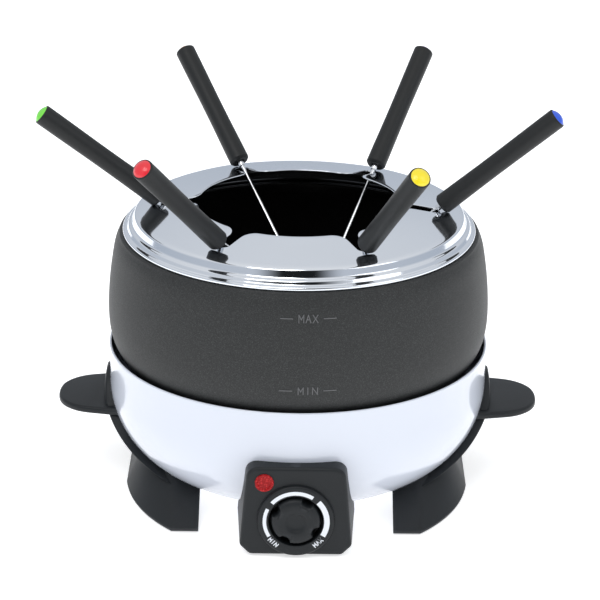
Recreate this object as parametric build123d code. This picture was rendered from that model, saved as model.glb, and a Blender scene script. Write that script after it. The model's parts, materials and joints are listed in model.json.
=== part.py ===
"""Electric fondue set: heated base bowl, lift-out pot, fork ring and six forks (millimetres).

The origin is on the table, on the axis of the bowl. +Z is up, the control dial faces -Y.
"""
import os
from math import cos, radians, sin, sqrt

from build123d import *

# ---- driving dimensions -------------------------------------------------------------
RING_Z = 156.5              # height of the fork ring's outer flat above the table
CLEAR = 0.3                 # gap kept between bodies that only rest on each other

BOWL_R = 106.0              # base bowl, outer radius of its wall
BOWL_RIM_Z = RING_Z - 76.0
BOWL_ARC = 50.0             # radius of the bowl's rounded lower edge
BOWL_ARC_Z = RING_Z - 98.0
BOWL_WALL = 1.2
BOWL_FLOOR_Z = BOWL_ARC_Z - BOWL_ARC
BOWL_HOLE_R = 40.0          # opening in the bowl's floor, closed by the bottom cover

POT_FLOOR_Z = 60.3          # underside of the pot
POT_RIM_Z = RING_Z - 10.3
POT_RIM_R = 99.6
POT_LEDGE_R = 91.5          # inner edge of the ledge that the ring is centred by
POT_LEDGE_Z = RING_Z - 14.3
POT_WALL = 2.3
MARK_RISE = 0.3             # how far the fill marks stand out of the pot's side
MARK_TURN = 3.0             # azimuth of the fill marks from the front, in degrees

RING_FLAT_R = 89.4          # outer edge of the ring's conical plate
RING_SLOPE = 0.155          # rise of the plate per millimetre towards the centre
RING_T = 0.9
RING_HOLE_R = 56.0          # inner edge of the six lobes
RING_TURN = -2.6            # the ring's notches are turned this far about +Z
NOTCH_END_R = 76.8
NOTCH_W = 7.0
LOBE_CORNER_R = 8.5

ROD_R = 1.05
COLLAR_R = 1.7
COLLAR_START = 2.0          # distances along a fork are measured from the ring's plate
HANDLE_START = 4.9
HANDLE_LEN = 81.0
HANDLE_R = 5.7
CAP_R = 4.9
CAP_DOME = 2.0
ROD_BELOW = 80.0
HEAD_LEN = 22.0
HEAD_W = 4.8
TINE_T = 1.3
FORKS = {                   # name: seat radius, seat azimuth, direction and lean from the vertical in degrees
    "green": (73.6, 176.8, 186.5, 51.8),
    "red": (74.0, 237.1, 232.3, 47.2),
    "yellow": (73.2, 298.0, 294.0, 46.8),
    "blue": (74.6, -1.9, -6.3, 49.0),
    "purple": (74.6, 56.1, 61.2, 48.0),
    "orange": (73.9, 116.1, 123.4, 50.2),
}

BAND_T = 4.5                # side bracket, thickness of the band that hugs the bowl
EAR_TOP_Z = RING_Z - 109.6
EAR_T = 4.0
EAR_TIP_X = 135.5
SKIRT_WALL = 3.6
SKIRT_SIDE_X = 96.5         # outline of a skirt on the table
SKIRT_FRONT_Y = 85.5
SKIRT_INNER_X = 53.0
FACET_X = 68.0
SKIRT_BOTTOM_Z = 1.0

FACE_Y = -112.0             # front face of the control housing
HOUSE_BOTTOM_Z = 1.5
HOUSE_TOP_Z = 52.6
HOUSE_TOP_W = 52.0
HOUSE_BOTTOM_W = 60.0
HOUSE_CHAMFER = 5.4
HOUSE_CORNER_R = 6.5
HOUSE_BACK_Y = -70.0
HOUSE_WALL = 2.2
HOUSE_DRAFT = 3.0           # degrees by which the housing widens towards the bowl
DIAL_Z = 22.4
DIAL_R = 20.4
DIAL_RISE = 2.2
CUP_R = 14.5                # the dial ring's recess for the knob
CUP_WALL = 1.4
CUP_DEPTH = 7.5
KNOB_R = 13.7
KNOB_OUT = 2.0              # how far the knob stands out of the dial ring
SHAFT_R = 3.0
LENS_X = -16.8
LENS_Z = 44.0
LENS_R = 5.0

PLATE_R = 70.0              # cast heating plate under the pot
PLATE_T = 7.5
PLATE_TOP_Z = POT_FLOOR_Z - CLEAR
ELEMENT_R = 48.0
ELEMENT_TUBE_R = 3.3
POST_R = 3.0
POST_AT_R = 56.0
REFLECTOR_Z = 38.0
GLAND_Z = 30.0
GLAND_BORE_R = 3.3
GLAND_R = 6.4
GLAND_FLANGE_R = 10.0
GLAND_OUT_Y = 106.0
GLAND_IN_Y = 84.0

SCREW_R = 1.5
SCREW_HOLE_R = 1.52
POST_ANGLES = (60, 180, 300)
TERMINAL_ANGLES = (65, 115) # where the element's ends turn down
COVER_R = 47.5
COVER_T = 1.6
COVER_SCREW_R = 44.0
COVER_SCREW_ANGLES = (45, 135, 225, 315)
HOUSE_SCREW_X = (-6.5, 17.0)
HOUSE_SCREW_Z = 46.0
BRACKET_SCREW_Z = 49.0
BRACKET_SCREW_Y = 9.0
BRACKET_SCREWS = [(sx * BOWL_R, sy * BRACKET_SCREW_Y) for sx in (-1, 1) for sy in (-1, 1)]
THERMO_Y = FACE_Y - DIAL_RISE + CUP_DEPTH + 1.5   # mounting face behind the dial cup
THERMO_R = 11.0
WIRE_X = 20.0               # hole in the bowl for the leads from the housing
WIRE_Z = 29.0
WIRE_HOLE_R = 4.2
PAD_X = 62.0
PAD_Y = 73.0
PAD_R = 4.5

os.makedirs("parts", exist_ok=True)


# ---- helpers --------------------------------------------------------------------------
def save(name, shape):
    """Write one named sub-part."""
    shape.label = name
    export_step(shape, f"parts/{name}.step")


def lathe(edges, arc=360):
    """Turn a closed outline of (radius, height) edges about the Z axis."""
    return revolve(make_face(edges), Axis.Z, arc)


def turned(points, arc=360):
    """Turn a closed polygon of (radius, height) points about the Z axis."""
    outline = Polyline([(r, 0, z) for r, z in points], close=True)
    return lathe(outline, arc)


def rod(start, direction, length, radius):
    """Cylinder from a point along a direction."""
    return Solid.make_cylinder(radius, length, Plane(origin=start, z_dir=direction))


def along_y(x, z, start_y, end_y, radius):
    """Cylinder along +Y between two values of y."""
    return rod((x, start_y, z), (0, 1, 0), end_y - start_y, radius)


def block(low, high):
    """Box between two corners."""
    size = [b - a for a, b in zip(low, high)]
    centre = [(a + b) / 2 for a, b in zip(low, high)]
    return Pos(*centre) * Box(*size)


def polar(radius, degrees, z=0.0):
    """Point at a radius and an azimuth."""
    return (radius * cos(radians(degrees)), radius * sin(radians(degrees)), z)


def group(solids):
    """Keep separate solids together in one sub-part."""
    flat = [s for shape in solids for s in shape.solids()]
    return Compound(children=flat)


def tube(points, radii, radius):
    """Round wire through points, with an arc of the given radius at each corner."""
    path = FilletPolyline(points, radius=radii)
    start = Plane(origin=path @ 0, z_dir=path % 0)
    return sweep(start * Circle(radius), path=path)


def screw(head_at, direction, length, head_r=3.0, head_t=2.0):
    """Pan-head screw with a cross recess; head_at is the seat of the head."""
    axis = Vector(*direction).normalized()
    top = Vector(*head_at) - axis * head_t
    seat = Plane(origin=tuple(top), z_dir=tuple(axis))
    shape = rod(head_at, direction, length, SCREW_R) + rod(tuple(top), direction, head_t, head_r)
    slot = Box(head_r * 1.2, SCREW_R * 0.5, head_t) + Box(SCREW_R * 0.5, head_r * 1.2, head_t)
    return shape - seat * slot


# ---- base bowl --------------------------------------------------------------------------
def bowl_solid(grow, rim_z=BOWL_RIM_Z):
    """Full turned volume inside the bowl's outer surface, grown by a distance."""
    centre_r = BOWL_R - BOWL_ARC
    radius = BOWL_ARC + grow
    low_z = BOWL_ARC_Z - radius
    mid = (centre_r + radius * sin(radians(45)), 0, BOWL_ARC_Z - radius * cos(radians(45)))
    wall = Line((centre_r + radius, 0, rim_z), (centre_r + radius, 0, BOWL_ARC_Z))
    lower = ThreePointArc((centre_r + radius, 0, BOWL_ARC_Z), mid, (centre_r, 0, low_z))
    rest = Polyline((centre_r, 0, low_z), (0, 0, low_z), (0, 0, rim_z), (centre_r + radius, 0, rim_z))
    return lathe(wall + lower + rest)


def bowl_radius_at(z, grow=0.0):
    """Outer radius of the bowl at a height on its rounded part."""
    drop = min(BOWL_ARC_Z - z, BOWL_ARC) if z < BOWL_ARC_Z else 0.0
    return BOWL_R - BOWL_ARC + sqrt((BOWL_ARC + grow) ** 2 - drop**2)


BOWL_OUTER = bowl_solid(0.0)
BOWL_ROOM = bowl_solid(0.02, BOWL_RIM_Z + 10.0)


def base_bowl():
    """Enamelled shell with a rolled rim and holes for what is fixed to it."""
    shell = BOWL_OUTER - bowl_solid(-BOWL_WALL, BOWL_RIM_Z + 1.0)
    bead = Pos(0, 0, BOWL_RIM_Z) * Torus(BOWL_R - BOWL_WALL / 2, BOWL_WALL * 0.6)
    shell = shell + bead
    shell = shell - Pos(0, 0, BOWL_FLOOR_Z) * Cylinder(BOWL_HOLE_R, 8)
    shell = shell - along_y(0, GLAND_Z, 80, 110, GLAND_R + 0.05)
    shell = shell - along_y(WIRE_X, WIRE_Z, -110, -80, WIRE_HOLE_R)
    for x in HOUSE_SCREW_X:
        shell = shell - along_y(x, HOUSE_SCREW_Z, -110, -90, SCREW_HOLE_R)
    for x, y in BRACKET_SCREWS:
        side = 1 if x > 0 else -1
        shell = shell - rod((side * 92, y, BRACKET_SCREW_Z), (side, 0, 0), 18, SCREW_HOLE_R)
    for angle in COVER_SCREW_ANGLES:
        shell = shell - Pos(*polar(COVER_SCREW_R, angle, BOWL_FLOOR_Z)) * Cylinder(SCREW_HOLE_R, 8)
    return shell


def bottom_cover():
    """Vented disc that closes the opening in the bowl's floor."""
    top = BOWL_FLOOR_Z
    disc = Pos(0, 0, top - COVER_T / 2) * Cylinder(COVER_R, COVER_T)
    disc = disc + Pos(0, 0, top + 0.75) * (Cylinder(BOWL_HOLE_R - 0.3, 1.5) - Cylinder(BOWL_HOLE_R - 2.0, 1.5))
    for angle in range(0, 360, 30):
        slot = Rot(0, 0, angle) * Pos(26, 0, top) * Box(14, 3, 8)
        disc = disc - slot
    for angle in COVER_SCREW_ANGLES:
        disc = disc - Pos(*polar(COVER_SCREW_R, angle, top)) * Cylinder(SCREW_HOLE_R, 8)
    return disc


def cover_screws():
    """Four screws that hold the bottom cover to the bowl's floor."""
    seat_z = BOWL_FLOOR_Z - COVER_T
    return group(
        screw(polar(COVER_SCREW_R, a, seat_z), (0, 0, 1), 5.0, head_t=1.6) for a in COVER_SCREW_ANGLES
    )


def bracket_screws():
    """Screws from inside the bowl into the side brackets."""
    screws = []
    for x, y in BRACKET_SCREWS:
        side = 1 if x > 0 else -1
        inner = bowl_radius_at(BRACKET_SCREW_Z, -BOWL_WALL)
        seat_x = sqrt(inner**2 - (BRACKET_SCREW_Y + 3.0) ** 2) - 0.9
        screws.append(screw((side * seat_x, y, BRACKET_SCREW_Z), (side, 0, 0), 5.6))
    return group(screws)


# ---- side brackets ----------------------------------------------------------------------
def bracket_side_outline():
    """Shape of a bracket seen from its side, (y, z): a rounded tongue that flares to the feet."""
    half = Spline(
        (0, 0, 63.5),
        (0, -13, 59),
        (0, -23, 47),
        (0, -33, 34),
        (0, -52, 21),
        (0, -90, 15),
        tangents=[(0, -1, 0), (0, -1, -0.05)],
    )
    other = mirror(half, Plane.XZ)
    base = Polyline((0, -90, 15), (0, -90, -2), (0, 90, -2), (0, 90, 15))
    return make_face(half + base + other)


def skirt_outline(side_x, front_y, inner_x, facet_x, z):
    """Plan outline of the left half's skirt: straight side, round corners, flat front and back."""
    bulge_x = side_x - (side_x - facet_x) * 0.30
    bulge_y = front_y * 0.66
    straight = front_y * 0.30
    left = Line((-side_x, -straight, z), (-side_x, straight, z))
    front_arc = ThreePointArc((-side_x, -straight, z), (-bulge_x, -bulge_y, z), (-facet_x, -front_y, z))
    back_arc = ThreePointArc((-side_x, straight, z), (-bulge_x, bulge_y, z), (-facet_x, front_y, z))
    front = Line((-facet_x, -front_y, z), (-inner_x, -front_y, z))
    back = Line((-facet_x, front_y, z), (-inner_x, front_y, z))
    inner = Line((-inner_x, -front_y, z), (-inner_x, front_y, z))
    return make_face(left + front_arc + back_arc + front + back + inner)


def skirt_block(inset):
    """Flared volume of the skirt, set in from its outer surface by a distance."""
    low = skirt_outline(
        SKIRT_SIDE_X - inset, SKIRT_FRONT_Y - inset, SKIRT_INNER_X - 1, FACET_X - inset * 0.4, SKIRT_BOTTOM_Z
    )
    high = skirt_outline(
        SKIRT_SIDE_X - 8 - inset, SKIRT_FRONT_Y - 29 - inset, SKIRT_INNER_X - 1, FACET_X - inset * 0.4, 18.0
    )
    return loft([low, high])


def side_bracket():
    """Left bracket: band on the bowl, ear to carry by, and the flared skirt that it stands on."""
    side_view = extrude(bracket_side_outline(), 150, dir=(-1, 0, 0))
    band = (bowl_solid(BAND_T, 66) & side_view) - BOWL_ROOM
    band = band & block((-160, -120, 12), (-60, 120, 70))
    ear = make_face(
        Line((-98, 27, EAR_TOP_Z - EAR_T), (-110, 25.5, EAR_TOP_Z - EAR_T))
        + Spline(
            (-110, 25.5, EAR_TOP_Z - EAR_T),
            (-124, 21.5, EAR_TOP_Z - EAR_T),
            (-133.5, 13.5, EAR_TOP_Z - EAR_T),
            (-EAR_TIP_X, 0, EAR_TOP_Z - EAR_T),
            (-133.5, -13.5, EAR_TOP_Z - EAR_T),
            (-124, -21.5, EAR_TOP_Z - EAR_T),
            (-110, -25.5, EAR_TOP_Z - EAR_T),
        )
        + Polyline((-110, -25.5, EAR_TOP_Z - EAR_T), (-98, -27, EAR_TOP_Z - EAR_T), (-98, 27, EAR_TOP_Z - EAR_T))
    )
    ear = extrude(ear, EAR_T, dir=(0, 0, 1))
    ear = fillet(ear.edges().group_by(Axis.Z)[-1].filter_by(lambda e: e.center().X < -100), 1.4)
    skirt = skirt_block(0.0) - skirt_block(SKIRT_WALL) - block((-SKIRT_INNER_X, -200, -5), (0, 200, 80))
    for sign in (-1, 1):
        foot = Pos(-PAD_X, sign * (PAD_Y - 2), 10 + SKIRT_BOTTOM_Z) * Box(15, 16, 20)
        skirt = skirt + (foot & skirt_block(0.0))
    bracket = band + (ear - BOWL_ROOM) + (skirt - BOWL_ROOM)
    for x, y in BRACKET_SCREWS:
        if x < 0:
            bracket = bracket - rod((-100, y, BRACKET_SCREW_Z), (-1, 0, 0), 9.2, SCREW_HOLE_R)
    for sign in (-1, 1):
        bracket = bracket - Pos(-PAD_X, sign * PAD_Y, SKIRT_BOTTOM_Z) * Cylinder(PAD_R, 2.0)
    return bracket


def foot_pads():
    """Four rubber pads pressed into the skirts."""
    pads = []
    for x in (-PAD_X, PAD_X):
        for y in (-PAD_Y, PAD_Y):
            pads.append(Pos(x, y, (SKIRT_BOTTOM_Z + 1.0) / 2) * Cylinder(PAD_R, SKIRT_BOTTOM_Z + 1.0))
    return group(pads)


# ---- control housing --------------------------------------------------------------------
def house_outline(inset=0.0):
    """Front outline of the housing in the XZ plane, set in by a distance."""
    top_w = HOUSE_TOP_W / 2 - inset
    low_w = HOUSE_BOTTOM_W / 2 - inset
    top_z = HOUSE_TOP_Z - inset
    low_z = HOUSE_BOTTOM_Z + inset
    cut = HOUSE_CHAMFER
    points = [
        (-low_w + cut, low_z),
        (low_w - cut, low_z),
        (low_w, low_z + cut),
        (top_w, top_z),
        (-top_w, top_z),
        (-low_w, low_z + cut),
    ]
    plane = Plane(origin=(0, FACE_Y, 0), x_dir=(1, 0, 0), z_dir=(0, -1, 0))
    outline = Polygon(*points, align=None)
    corners = outline.vertices().group_by(Axis.Y)[-1]
    return plane * fillet(corners, HOUSE_CORNER_R - inset)


def control_housing():
    """Moulded box under the bowl, open towards it, with a flange of its own behind the dial."""
    depth = HOUSE_BACK_Y - FACE_Y
    outer = extrude(house_outline(), depth, dir=(0, 1, 0), taper=-HOUSE_DRAFT)
    front_edges = outer.edges().group_by(Axis.Y)[0]
    outer = fillet(front_edges, 1.6)
    cavity = extrude(house_outline(HOUSE_WALL), depth - HOUSE_WALL, dir=(0, 1, 0), taper=-HOUSE_DRAFT)
    cavity = cavity & block((-60, FACE_Y + HOUSE_WALL, -5), (60, HOUSE_BACK_Y, 80))
    housing = outer - cavity
    housing = housing - along_y(0, DIAL_Z, FACE_Y - 5, FACE_Y + 6, CUP_R + CUP_WALL)
    housing = housing - along_y(LENS_X, LENS_Z, FACE_Y - 5, FACE_Y + 6, LENS_R - 1.0)
    for x in HOUSE_SCREW_X:
        boss = along_y(x, HOUSE_SCREW_Z, FACE_Y + 1.5, -95, 3.4)
        housing = housing + (boss - along_y(x, HOUSE_SCREW_Z, FACE_Y + 4.0, -90, SCREW_HOLE_R))
    return housing - BOWL_ROOM


def housing_screws():
    """Two screws from inside the bowl into the housing's bosses."""
    screws = []
    for x in HOUSE_SCREW_X:
        inner = bowl_radius_at(HOUSE_SCREW_Z, -BOWL_WALL)
        seat_y = -sqrt(inner**2 - (abs(x) + 3.0) ** 2) + 1.6
        screws.append(screw((x, seat_y, HOUSE_SCREW_Z), (0, -1, 0), 6.4))
    return group(screws)


def dial_ring():
    """Raised ring round the knob with the cup that the knob turns in."""
    front = FACE_Y - DIAL_RISE
    floor_y = front + CUP_DEPTH
    ring = [
        (CUP_R, 0),
        (DIAL_R - 1.6, 0),
        (DIAL_R - 0.4, 0.7),
        (DIAL_R, DIAL_RISE),
        (CUP_R + CUP_WALL, DIAL_RISE),
        (CUP_R + CUP_WALL, CUP_DEPTH + 1.5),
        (SHAFT_R + 0.8, CUP_DEPTH + 1.5),
        (SHAFT_R + 0.8, CUP_DEPTH),
        (CUP_R, CUP_DEPTH),
    ]
    plane = Plane(origin=(0, front, DIAL_Z), x_dir=(1, 0, 0), z_dir=(0, 1, 0))
    return plane * turned(ring)


def arc_band(start, end, mid_r, width):
    """Flat arc between two angles, thickened to a printed stripe, in the dial's own plane."""
    outer = mid_r + width / 2
    inner = mid_r - width / 2
    half = (start + end) / 2
    edges = ThreePointArc(polar(outer, start), polar(outer, half), polar(outer, end))
    edges += Line(polar(outer, end), polar(inner, end))
    edges += ThreePointArc(polar(inner, end), polar(inner, half), polar(inner, start))
    edges += Line(polar(inner, start), polar(outer, start))
    return make_face(edges)


LETTERS = {                 # strokes of each letter in a cell 1 wide and 1.5 high
    "M": [(0, 0), (0, 1.5), (0.5, 0.6), (1, 1.5), (1, 0)],
    "I": [(0.5, 0), (0.5, 1.5)],
    "N": [(0, 0), (0, 1.5), (1, 0), (1, 1.5)],
    "A": [(0, 0), (0.5, 1.5), (1, 0), (0.78, 0.6), (0.22, 0.6)],
    "X": [(0, 0), (1, 1.5), (0.5, 0.75), (0, 1.5), (1, 0)],
}


def word(text, cell, stroke):
    """Faces of a word drawn with straight strokes, centred on the origin."""
    faces = []
    pitch = 1.45 * cell
    start = -pitch * len(text) / 2 + 0.22 * cell
    for number, letter in enumerate(text):
        points = [(start + number * pitch + x * cell, (y - 0.75) * cell) for x, y in LETTERS[letter]]
        for (ax, ay), (bx, by) in zip(points, points[1:]):
            length = sqrt((bx - ax) ** 2 + (by - ay) ** 2)
            angle = Vector(1, 0, 0).get_signed_angle(Vector(bx - ax, by - ay, 0))
            bar = Pos((ax + bx) / 2, (ay + by) / 2) * Rot(0, 0, angle) * Rectangle(length + stroke, stroke)
            faces.append(bar)
    return faces


def dial_marks():
    """Printed arcs of growing width and the words at both ends of the scale."""
    stripes = [(154, 212, 16.6, 1.9), (57, 140, 16.5, 2.1), (-30, 44, 16.5, 2.9)]
    marks = [extrude(arc_band(a, b, r, w), 0.15) for a, b, r, w in stripes]
    for text, angle in (("MIN", 226), ("MAX", 314)):
        centre = polar(17.0, angle)
        turn = angle + 90
        for bar in word(text, 1.15, 0.42):
            marks.append(extrude(Pos(*centre) * Rot(0, 0, turn) * bar, 0.15))
    whole = marks[0]
    for mark in marks[1:]:
        whole = whole + mark
    plane = Plane(origin=(0, FACE_Y - DIAL_RISE, DIAL_Z), x_dir=(1, 0, 0), z_dir=(0, -1, 0))
    return plane * whole


def pilot_lens():
    """Red lens with a raised rim and a dished window."""
    profile = [
        (0, -0.3),
        (LENS_R - 1.4, -0.3),
        (LENS_R - 0.9, -0.9),
        (LENS_R - 0.3, -0.9),
        (LENS_R, -0.5),
        (LENS_R, 0),
        (LENS_R - 1.05, 0),
        (LENS_R - 1.05, 5.0),
        (LENS_R - 1.9, 5.0),
        (LENS_R - 1.9, 1.0),
        (0, 1.0),
    ]
    plane = Plane(origin=(LENS_X, FACE_Y, LENS_Z), x_dir=(1, 0, 0), z_dir=(0, 1, 0))
    return plane * turned(profile)


def pilot_lamp():
    """Small glow lamp behind the lens."""
    bulb = along_y(LENS_X, LENS_Z, FACE_Y + 1.6, FACE_Y + 6.5, 2.6)
    tail = along_y(LENS_X, LENS_Z, FACE_Y + 6.5, FACE_Y + 8.2, 1.2)
    return bulb + tail


# ---- knob and thermostat ----------------------------------------------------------------
def knob():
    """Round knob with four finger scallops, a pointer rib and a D-shaped bore."""
    front = FACE_Y - DIAL_RISE - KNOB_OUT
    back = FACE_Y - DIAL_RISE + CUP_DEPTH - 0.8
    length = back - front
    outline = [
        (0, 1.6),
        (4.6, 1.2),
        (5.4, 0.4),
        (9.5, 0.3),
        (KNOB_R - 1.6, 1.2),
        (KNOB_R - 0.5, 2.6),
        (KNOB_R, length),
        (0, length),
    ]
    plane = Plane(origin=(0, front, DIAL_Z), x_dir=(1, 0, 0), z_dir=(0, 1, 0))
    shape = turned(outline)
    for angle in (61, 151, 241, 331):
        scoop = Pos(*polar(KNOB_R + 1.6, -angle)) * Cylinder(4.2, 6.0)
        shape = shape - scoop
    bore = Cylinder(SHAFT_R + 0.02, 12) - Pos(0, SHAFT_R, 0) * Box(8, 1.6, 12)
    shape = shape - Pos(0, 0, length) * bore
    return plane * shape


def thermostat_shaft():
    """D-shaft between the thermostat and the knob."""
    front = FACE_Y - DIAL_RISE - KNOB_OUT
    back = FACE_Y - DIAL_RISE + CUP_DEPTH - 0.8
    start = back - 5.8
    flat = block((-5, start - 1, DIAL_Z - SHAFT_R - 1), (5, back, DIAL_Z - SHAFT_R + 0.85))
    return along_y(0, DIAL_Z, start, THERMO_Y + 6.0, SHAFT_R - 0.02) - flat


def thermostat_body():
    """Ceramic thermostat with its mounting plate, behind the dial cup."""
    plate = block((-15, THERMO_Y, DIAL_Z - 8), (15, THERMO_Y + 1.2, DIAL_Z + 8))
    drum = along_y(0, DIAL_Z, THERMO_Y + 1.2, THERMO_Y + 9.0, THERMO_R) - bowl_solid(1.0)
    tabs = block((THERMO_R - 5, THERMO_Y + 3, DIAL_Z - 8), (THERMO_R + 6, THERMO_Y + 3.8, DIAL_Z - 5))
    tabs = tabs + block((THERMO_R - 5, THERMO_Y + 3, DIAL_Z - 3), (THERMO_R + 6, THERMO_Y + 3.8, DIAL_Z))
    body = plate + drum + tabs
    return body - along_y(0, DIAL_Z, THERMO_Y - 1, THERMO_Y + 6.5, SHAFT_R + 0.03)


def thermostat_bulb():
    """Sensing bulb clamped under the heating plate, with its capillary from the thermostat."""
    bulb_z = PLATE_TOP_Z - PLATE_T - 2.6
    bulb = rod((24, -14, bulb_z), (0, 1, 0), 30, 2.5)
    line = tube(
        [
            (THERMO_R + 0.1, THERMO_Y + 5.0, DIAL_Z + 3.5),
            (WIRE_X, THERMO_Y + 5.0, WIRE_Z + 1.6),
            (WIRE_X, -84, WIRE_Z + 1.6),
            (24, -46, bulb_z - 5),
            (24, -26, bulb_z),
            (24, -14, bulb_z),
        ],
        [3.0, 10.0, 12.0, 8.0],
        0.7,
    )
    return bulb + line


# ---- heater -----------------------------------------------------------------------------
def heat_plate():
    """Cast plate with a groove for the element and a raised rim that centres the pot."""
    low = PLATE_TOP_Z - PLATE_T
    plate = Pos(0, 0, low + PLATE_T / 2) * Cylinder(PLATE_R, PLATE_T)
    plate = fillet(plate.edges().group_by(Axis.Z)[-1], 1.2)
    plate = plate - Pos(0, 0, low) * Torus(ELEMENT_R, ELEMENT_TUBE_R)
    for angle in POST_ANGLES:
        plate = plate - Pos(*polar(POST_AT_R, angle, low)) * Cylinder(SCREW_HOLE_R, 8)
    return plate


def heating_element():
    """Tubular element bent to a ring, with both ends turned down as terminals."""
    low = PLATE_TOP_Z - PLATE_T
    section = Plane.XZ * (Pos(ELEMENT_R, low) * Circle(ELEMENT_TUBE_R))
    ring = Rot(0, 0, 115) * revolve(section, Axis.Z, 310)
    legs = ring
    for angle in TERMINAL_ANGLES:
        end = polar(ELEMENT_R, angle, low)
        ball = Pos(*end) * Sphere(ELEMENT_TUBE_R)
        leg = rod(end, (0, 0, -1), 17, ELEMENT_TUBE_R)
        pin = rod(polar(ELEMENT_R, angle, low - 17), (0, 0, -1), 6, 1.2)
        legs = legs + ball + leg + pin
    return legs


def plate_posts():
    """Three posts that carry the plate above the bowl's floor."""
    low = BOWL_FLOOR_Z + BOWL_WALL + 0.12
    high = PLATE_TOP_Z - PLATE_T
    posts = []
    for angle in POST_ANGLES:
        at = polar(POST_AT_R, angle, low)
        posts.append(rod(at, (0, 0, 1), high - low, POST_R))
    return group(posts)


def heat_reflector():
    """Dished sheet below the element that keeps the heat off the floor."""
    dish = [
        (0, REFLECTOR_Z - 3),
        (30, REFLECTOR_Z - 3),
        (36, REFLECTOR_Z),
        (64, REFLECTOR_Z),
        (68, REFLECTOR_Z + 4),
        (68.6, REFLECTOR_Z + 3.5),
        (64.4, REFLECTOR_Z - 0.8),
        (36.4, REFLECTOR_Z - 0.8),
        (30.4, REFLECTOR_Z - 3.8),
        (0, REFLECTOR_Z - 3.8),
    ]
    shape = turned(dish)
    shape = shape - block((WIRE_X, -75, REFLECTOR_Z - 2), (29, -30, REFLECTOR_Z + 8))
    for angle in POST_ANGLES:
        shape = shape - Pos(*polar(POST_AT_R, angle, REFLECTOR_Z)) * Cylinder(POST_R + 0.1, 12)
    for angle in TERMINAL_ANGLES:
        shape = shape - Pos(*polar(ELEMENT_R, angle, REFLECTOR_Z)) * Cylinder(ELEMENT_TUBE_R + 0.8, 12)
    return shape


def thermal_cutout():
    """Button thermostat that cuts the power if the plate overheats."""
    top = PLATE_TOP_Z - PLATE_T
    cap = Pos(-16, 0, top - 1.5) * Cylinder(8.0, 3.0)
    body = Pos(-16, 0, top - 6.0) * Cylinder(6.5, 6.0)
    shape = cap + body
    for y in (-3.5, 3.5):
        shape = shape + block((-16.4, y - 1.6, top - 14.0), (-15.6, y + 1.6, top - 9.0))
    return shape


def terminal_block():
    """Ceramic block that joins the cord to the inner leads, with its clamp screws."""
    low = BOWL_FLOOR_Z + BOWL_WALL
    base = block((-15, 52, low), (15, 64, low + 2.0)) & bowl_solid(-BOWL_WALL - 0.02)
    body = block((-15, 46, low + 1.0), (15, 58, low + 11.0)) & bowl_solid(-BOWL_WALL - 0.02)
    shape = base + body
    for x in (-10, 0, 10):
        shape = shape - Pos(x, 52, low + 11) * Cylinder(2.2, 5)
        shape = shape + Pos(x, 52, low + 9.2) * Cylinder(1.9, 1.6)
    return shape


def cord_gland():
    """Moulded bush in the back of the bowl for the mains lead."""
    flange = along_y(0, GLAND_Z, 90, GLAND_OUT_Y - 3, GLAND_FLANGE_R) - BOWL_ROOM
    nose = along_y(0, GLAND_Z, 90, GLAND_OUT_Y, GLAND_R + 1.2) - BOWL_ROOM
    nose = fillet(nose.edges().group_by(Axis.Y)[-1], 1.0)
    body = along_y(0, GLAND_Z, GLAND_IN_Y, GLAND_OUT_Y - 5, GLAND_R)
    return flange + nose + body - along_y(0, GLAND_Z, GLAND_IN_Y - 1, GLAND_OUT_Y + 1, GLAND_BORE_R)


def wall_grommet():
    """Rubber grommet where the leads pass from the housing into the bowl."""
    outer_y = -sqrt(bowl_radius_at(WIRE_Z) ** 2 - WIRE_X**2)
    sleeve = along_y(WIRE_X, WIRE_Z, outer_y - 1.5, outer_y + 5.5, WIRE_HOLE_R)
    lip = along_y(WIRE_X, WIRE_Z, outer_y - 3.5, outer_y + 2, WIRE_HOLE_R + 1.3) - BOWL_ROOM
    return sleeve + lip - along_y(WIRE_X, WIRE_Z, outer_y - 5, outer_y + 7, WIRE_HOLE_R - 0.9)


def lead_wires():
    """Insulated leads from the thermostat's side to the terminal block and to the element."""
    floor_z = BOWL_FLOOR_Z + BOWL_WALL
    pin_z = PLATE_TOP_Z - PLATE_T - 23
    to_block = tube(
        [
            (WIRE_X - 1.8, -100, WIRE_Z - 1.0),
            (WIRE_X - 1.8, -82, WIRE_Z - 1.0),
            (4, -64, 18),
            (-26, -20, 17),
            (-24, 26, 16),
            (-10, 36, floor_z + 5),
            (-10, 45.9, floor_z + 5),
        ],
        [8.0, 14.0, 18.0, 12.0, 5.0],
        1.1,
    )
    end = polar(ELEMENT_R, TERMINAL_ANGLES[0], pin_z)
    to_element = tube(
        [
            (WIRE_X + 1.8, -100, WIRE_Z - 1.0),
            (WIRE_X + 1.8, -84, WIRE_Z - 1.0),
            (41, -60, 26),
            (40, 0, 22),
            (end[0], end[1], 22),
            (end[0], end[1], pin_z),
        ],
        [8.0, 18.0, 12.0, 2.5],
        1.1,
    )
    return group([to_block, to_element])


# ---- pot --------------------------------------------------------------------------------
def pot_side():
    """Outer curve of the pot's side, from the rim down to the floor."""
    return Spline(
        (POT_RIM_R, 0, POT_RIM_Z - 1.0),
        (103.6, 0, RING_Z - 26),
        (106.0, 0, RING_Z - 51),
        (104.8, 0, RING_Z - 68),
        (99.5, 0, RING_Z - 80),
        (88.0, 0, POT_FLOOR_Z + 4.6),
        (68.0, 0, POT_FLOOR_Z),
        tangents=[(0.6, 0, -1), (-1, 0, 0)],
    )


def pot_radius_at(z):
    """Outer radius of the pot at a height, found by halving the curve's parameter."""
    side = pot_side()
    low, high = 0.0, 1.0
    for _ in range(30):
        mid = (low + high) / 2
        if (side @ mid).Z > z:
            low = mid
        else:
            high = mid
    return (side @ low).X


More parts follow.
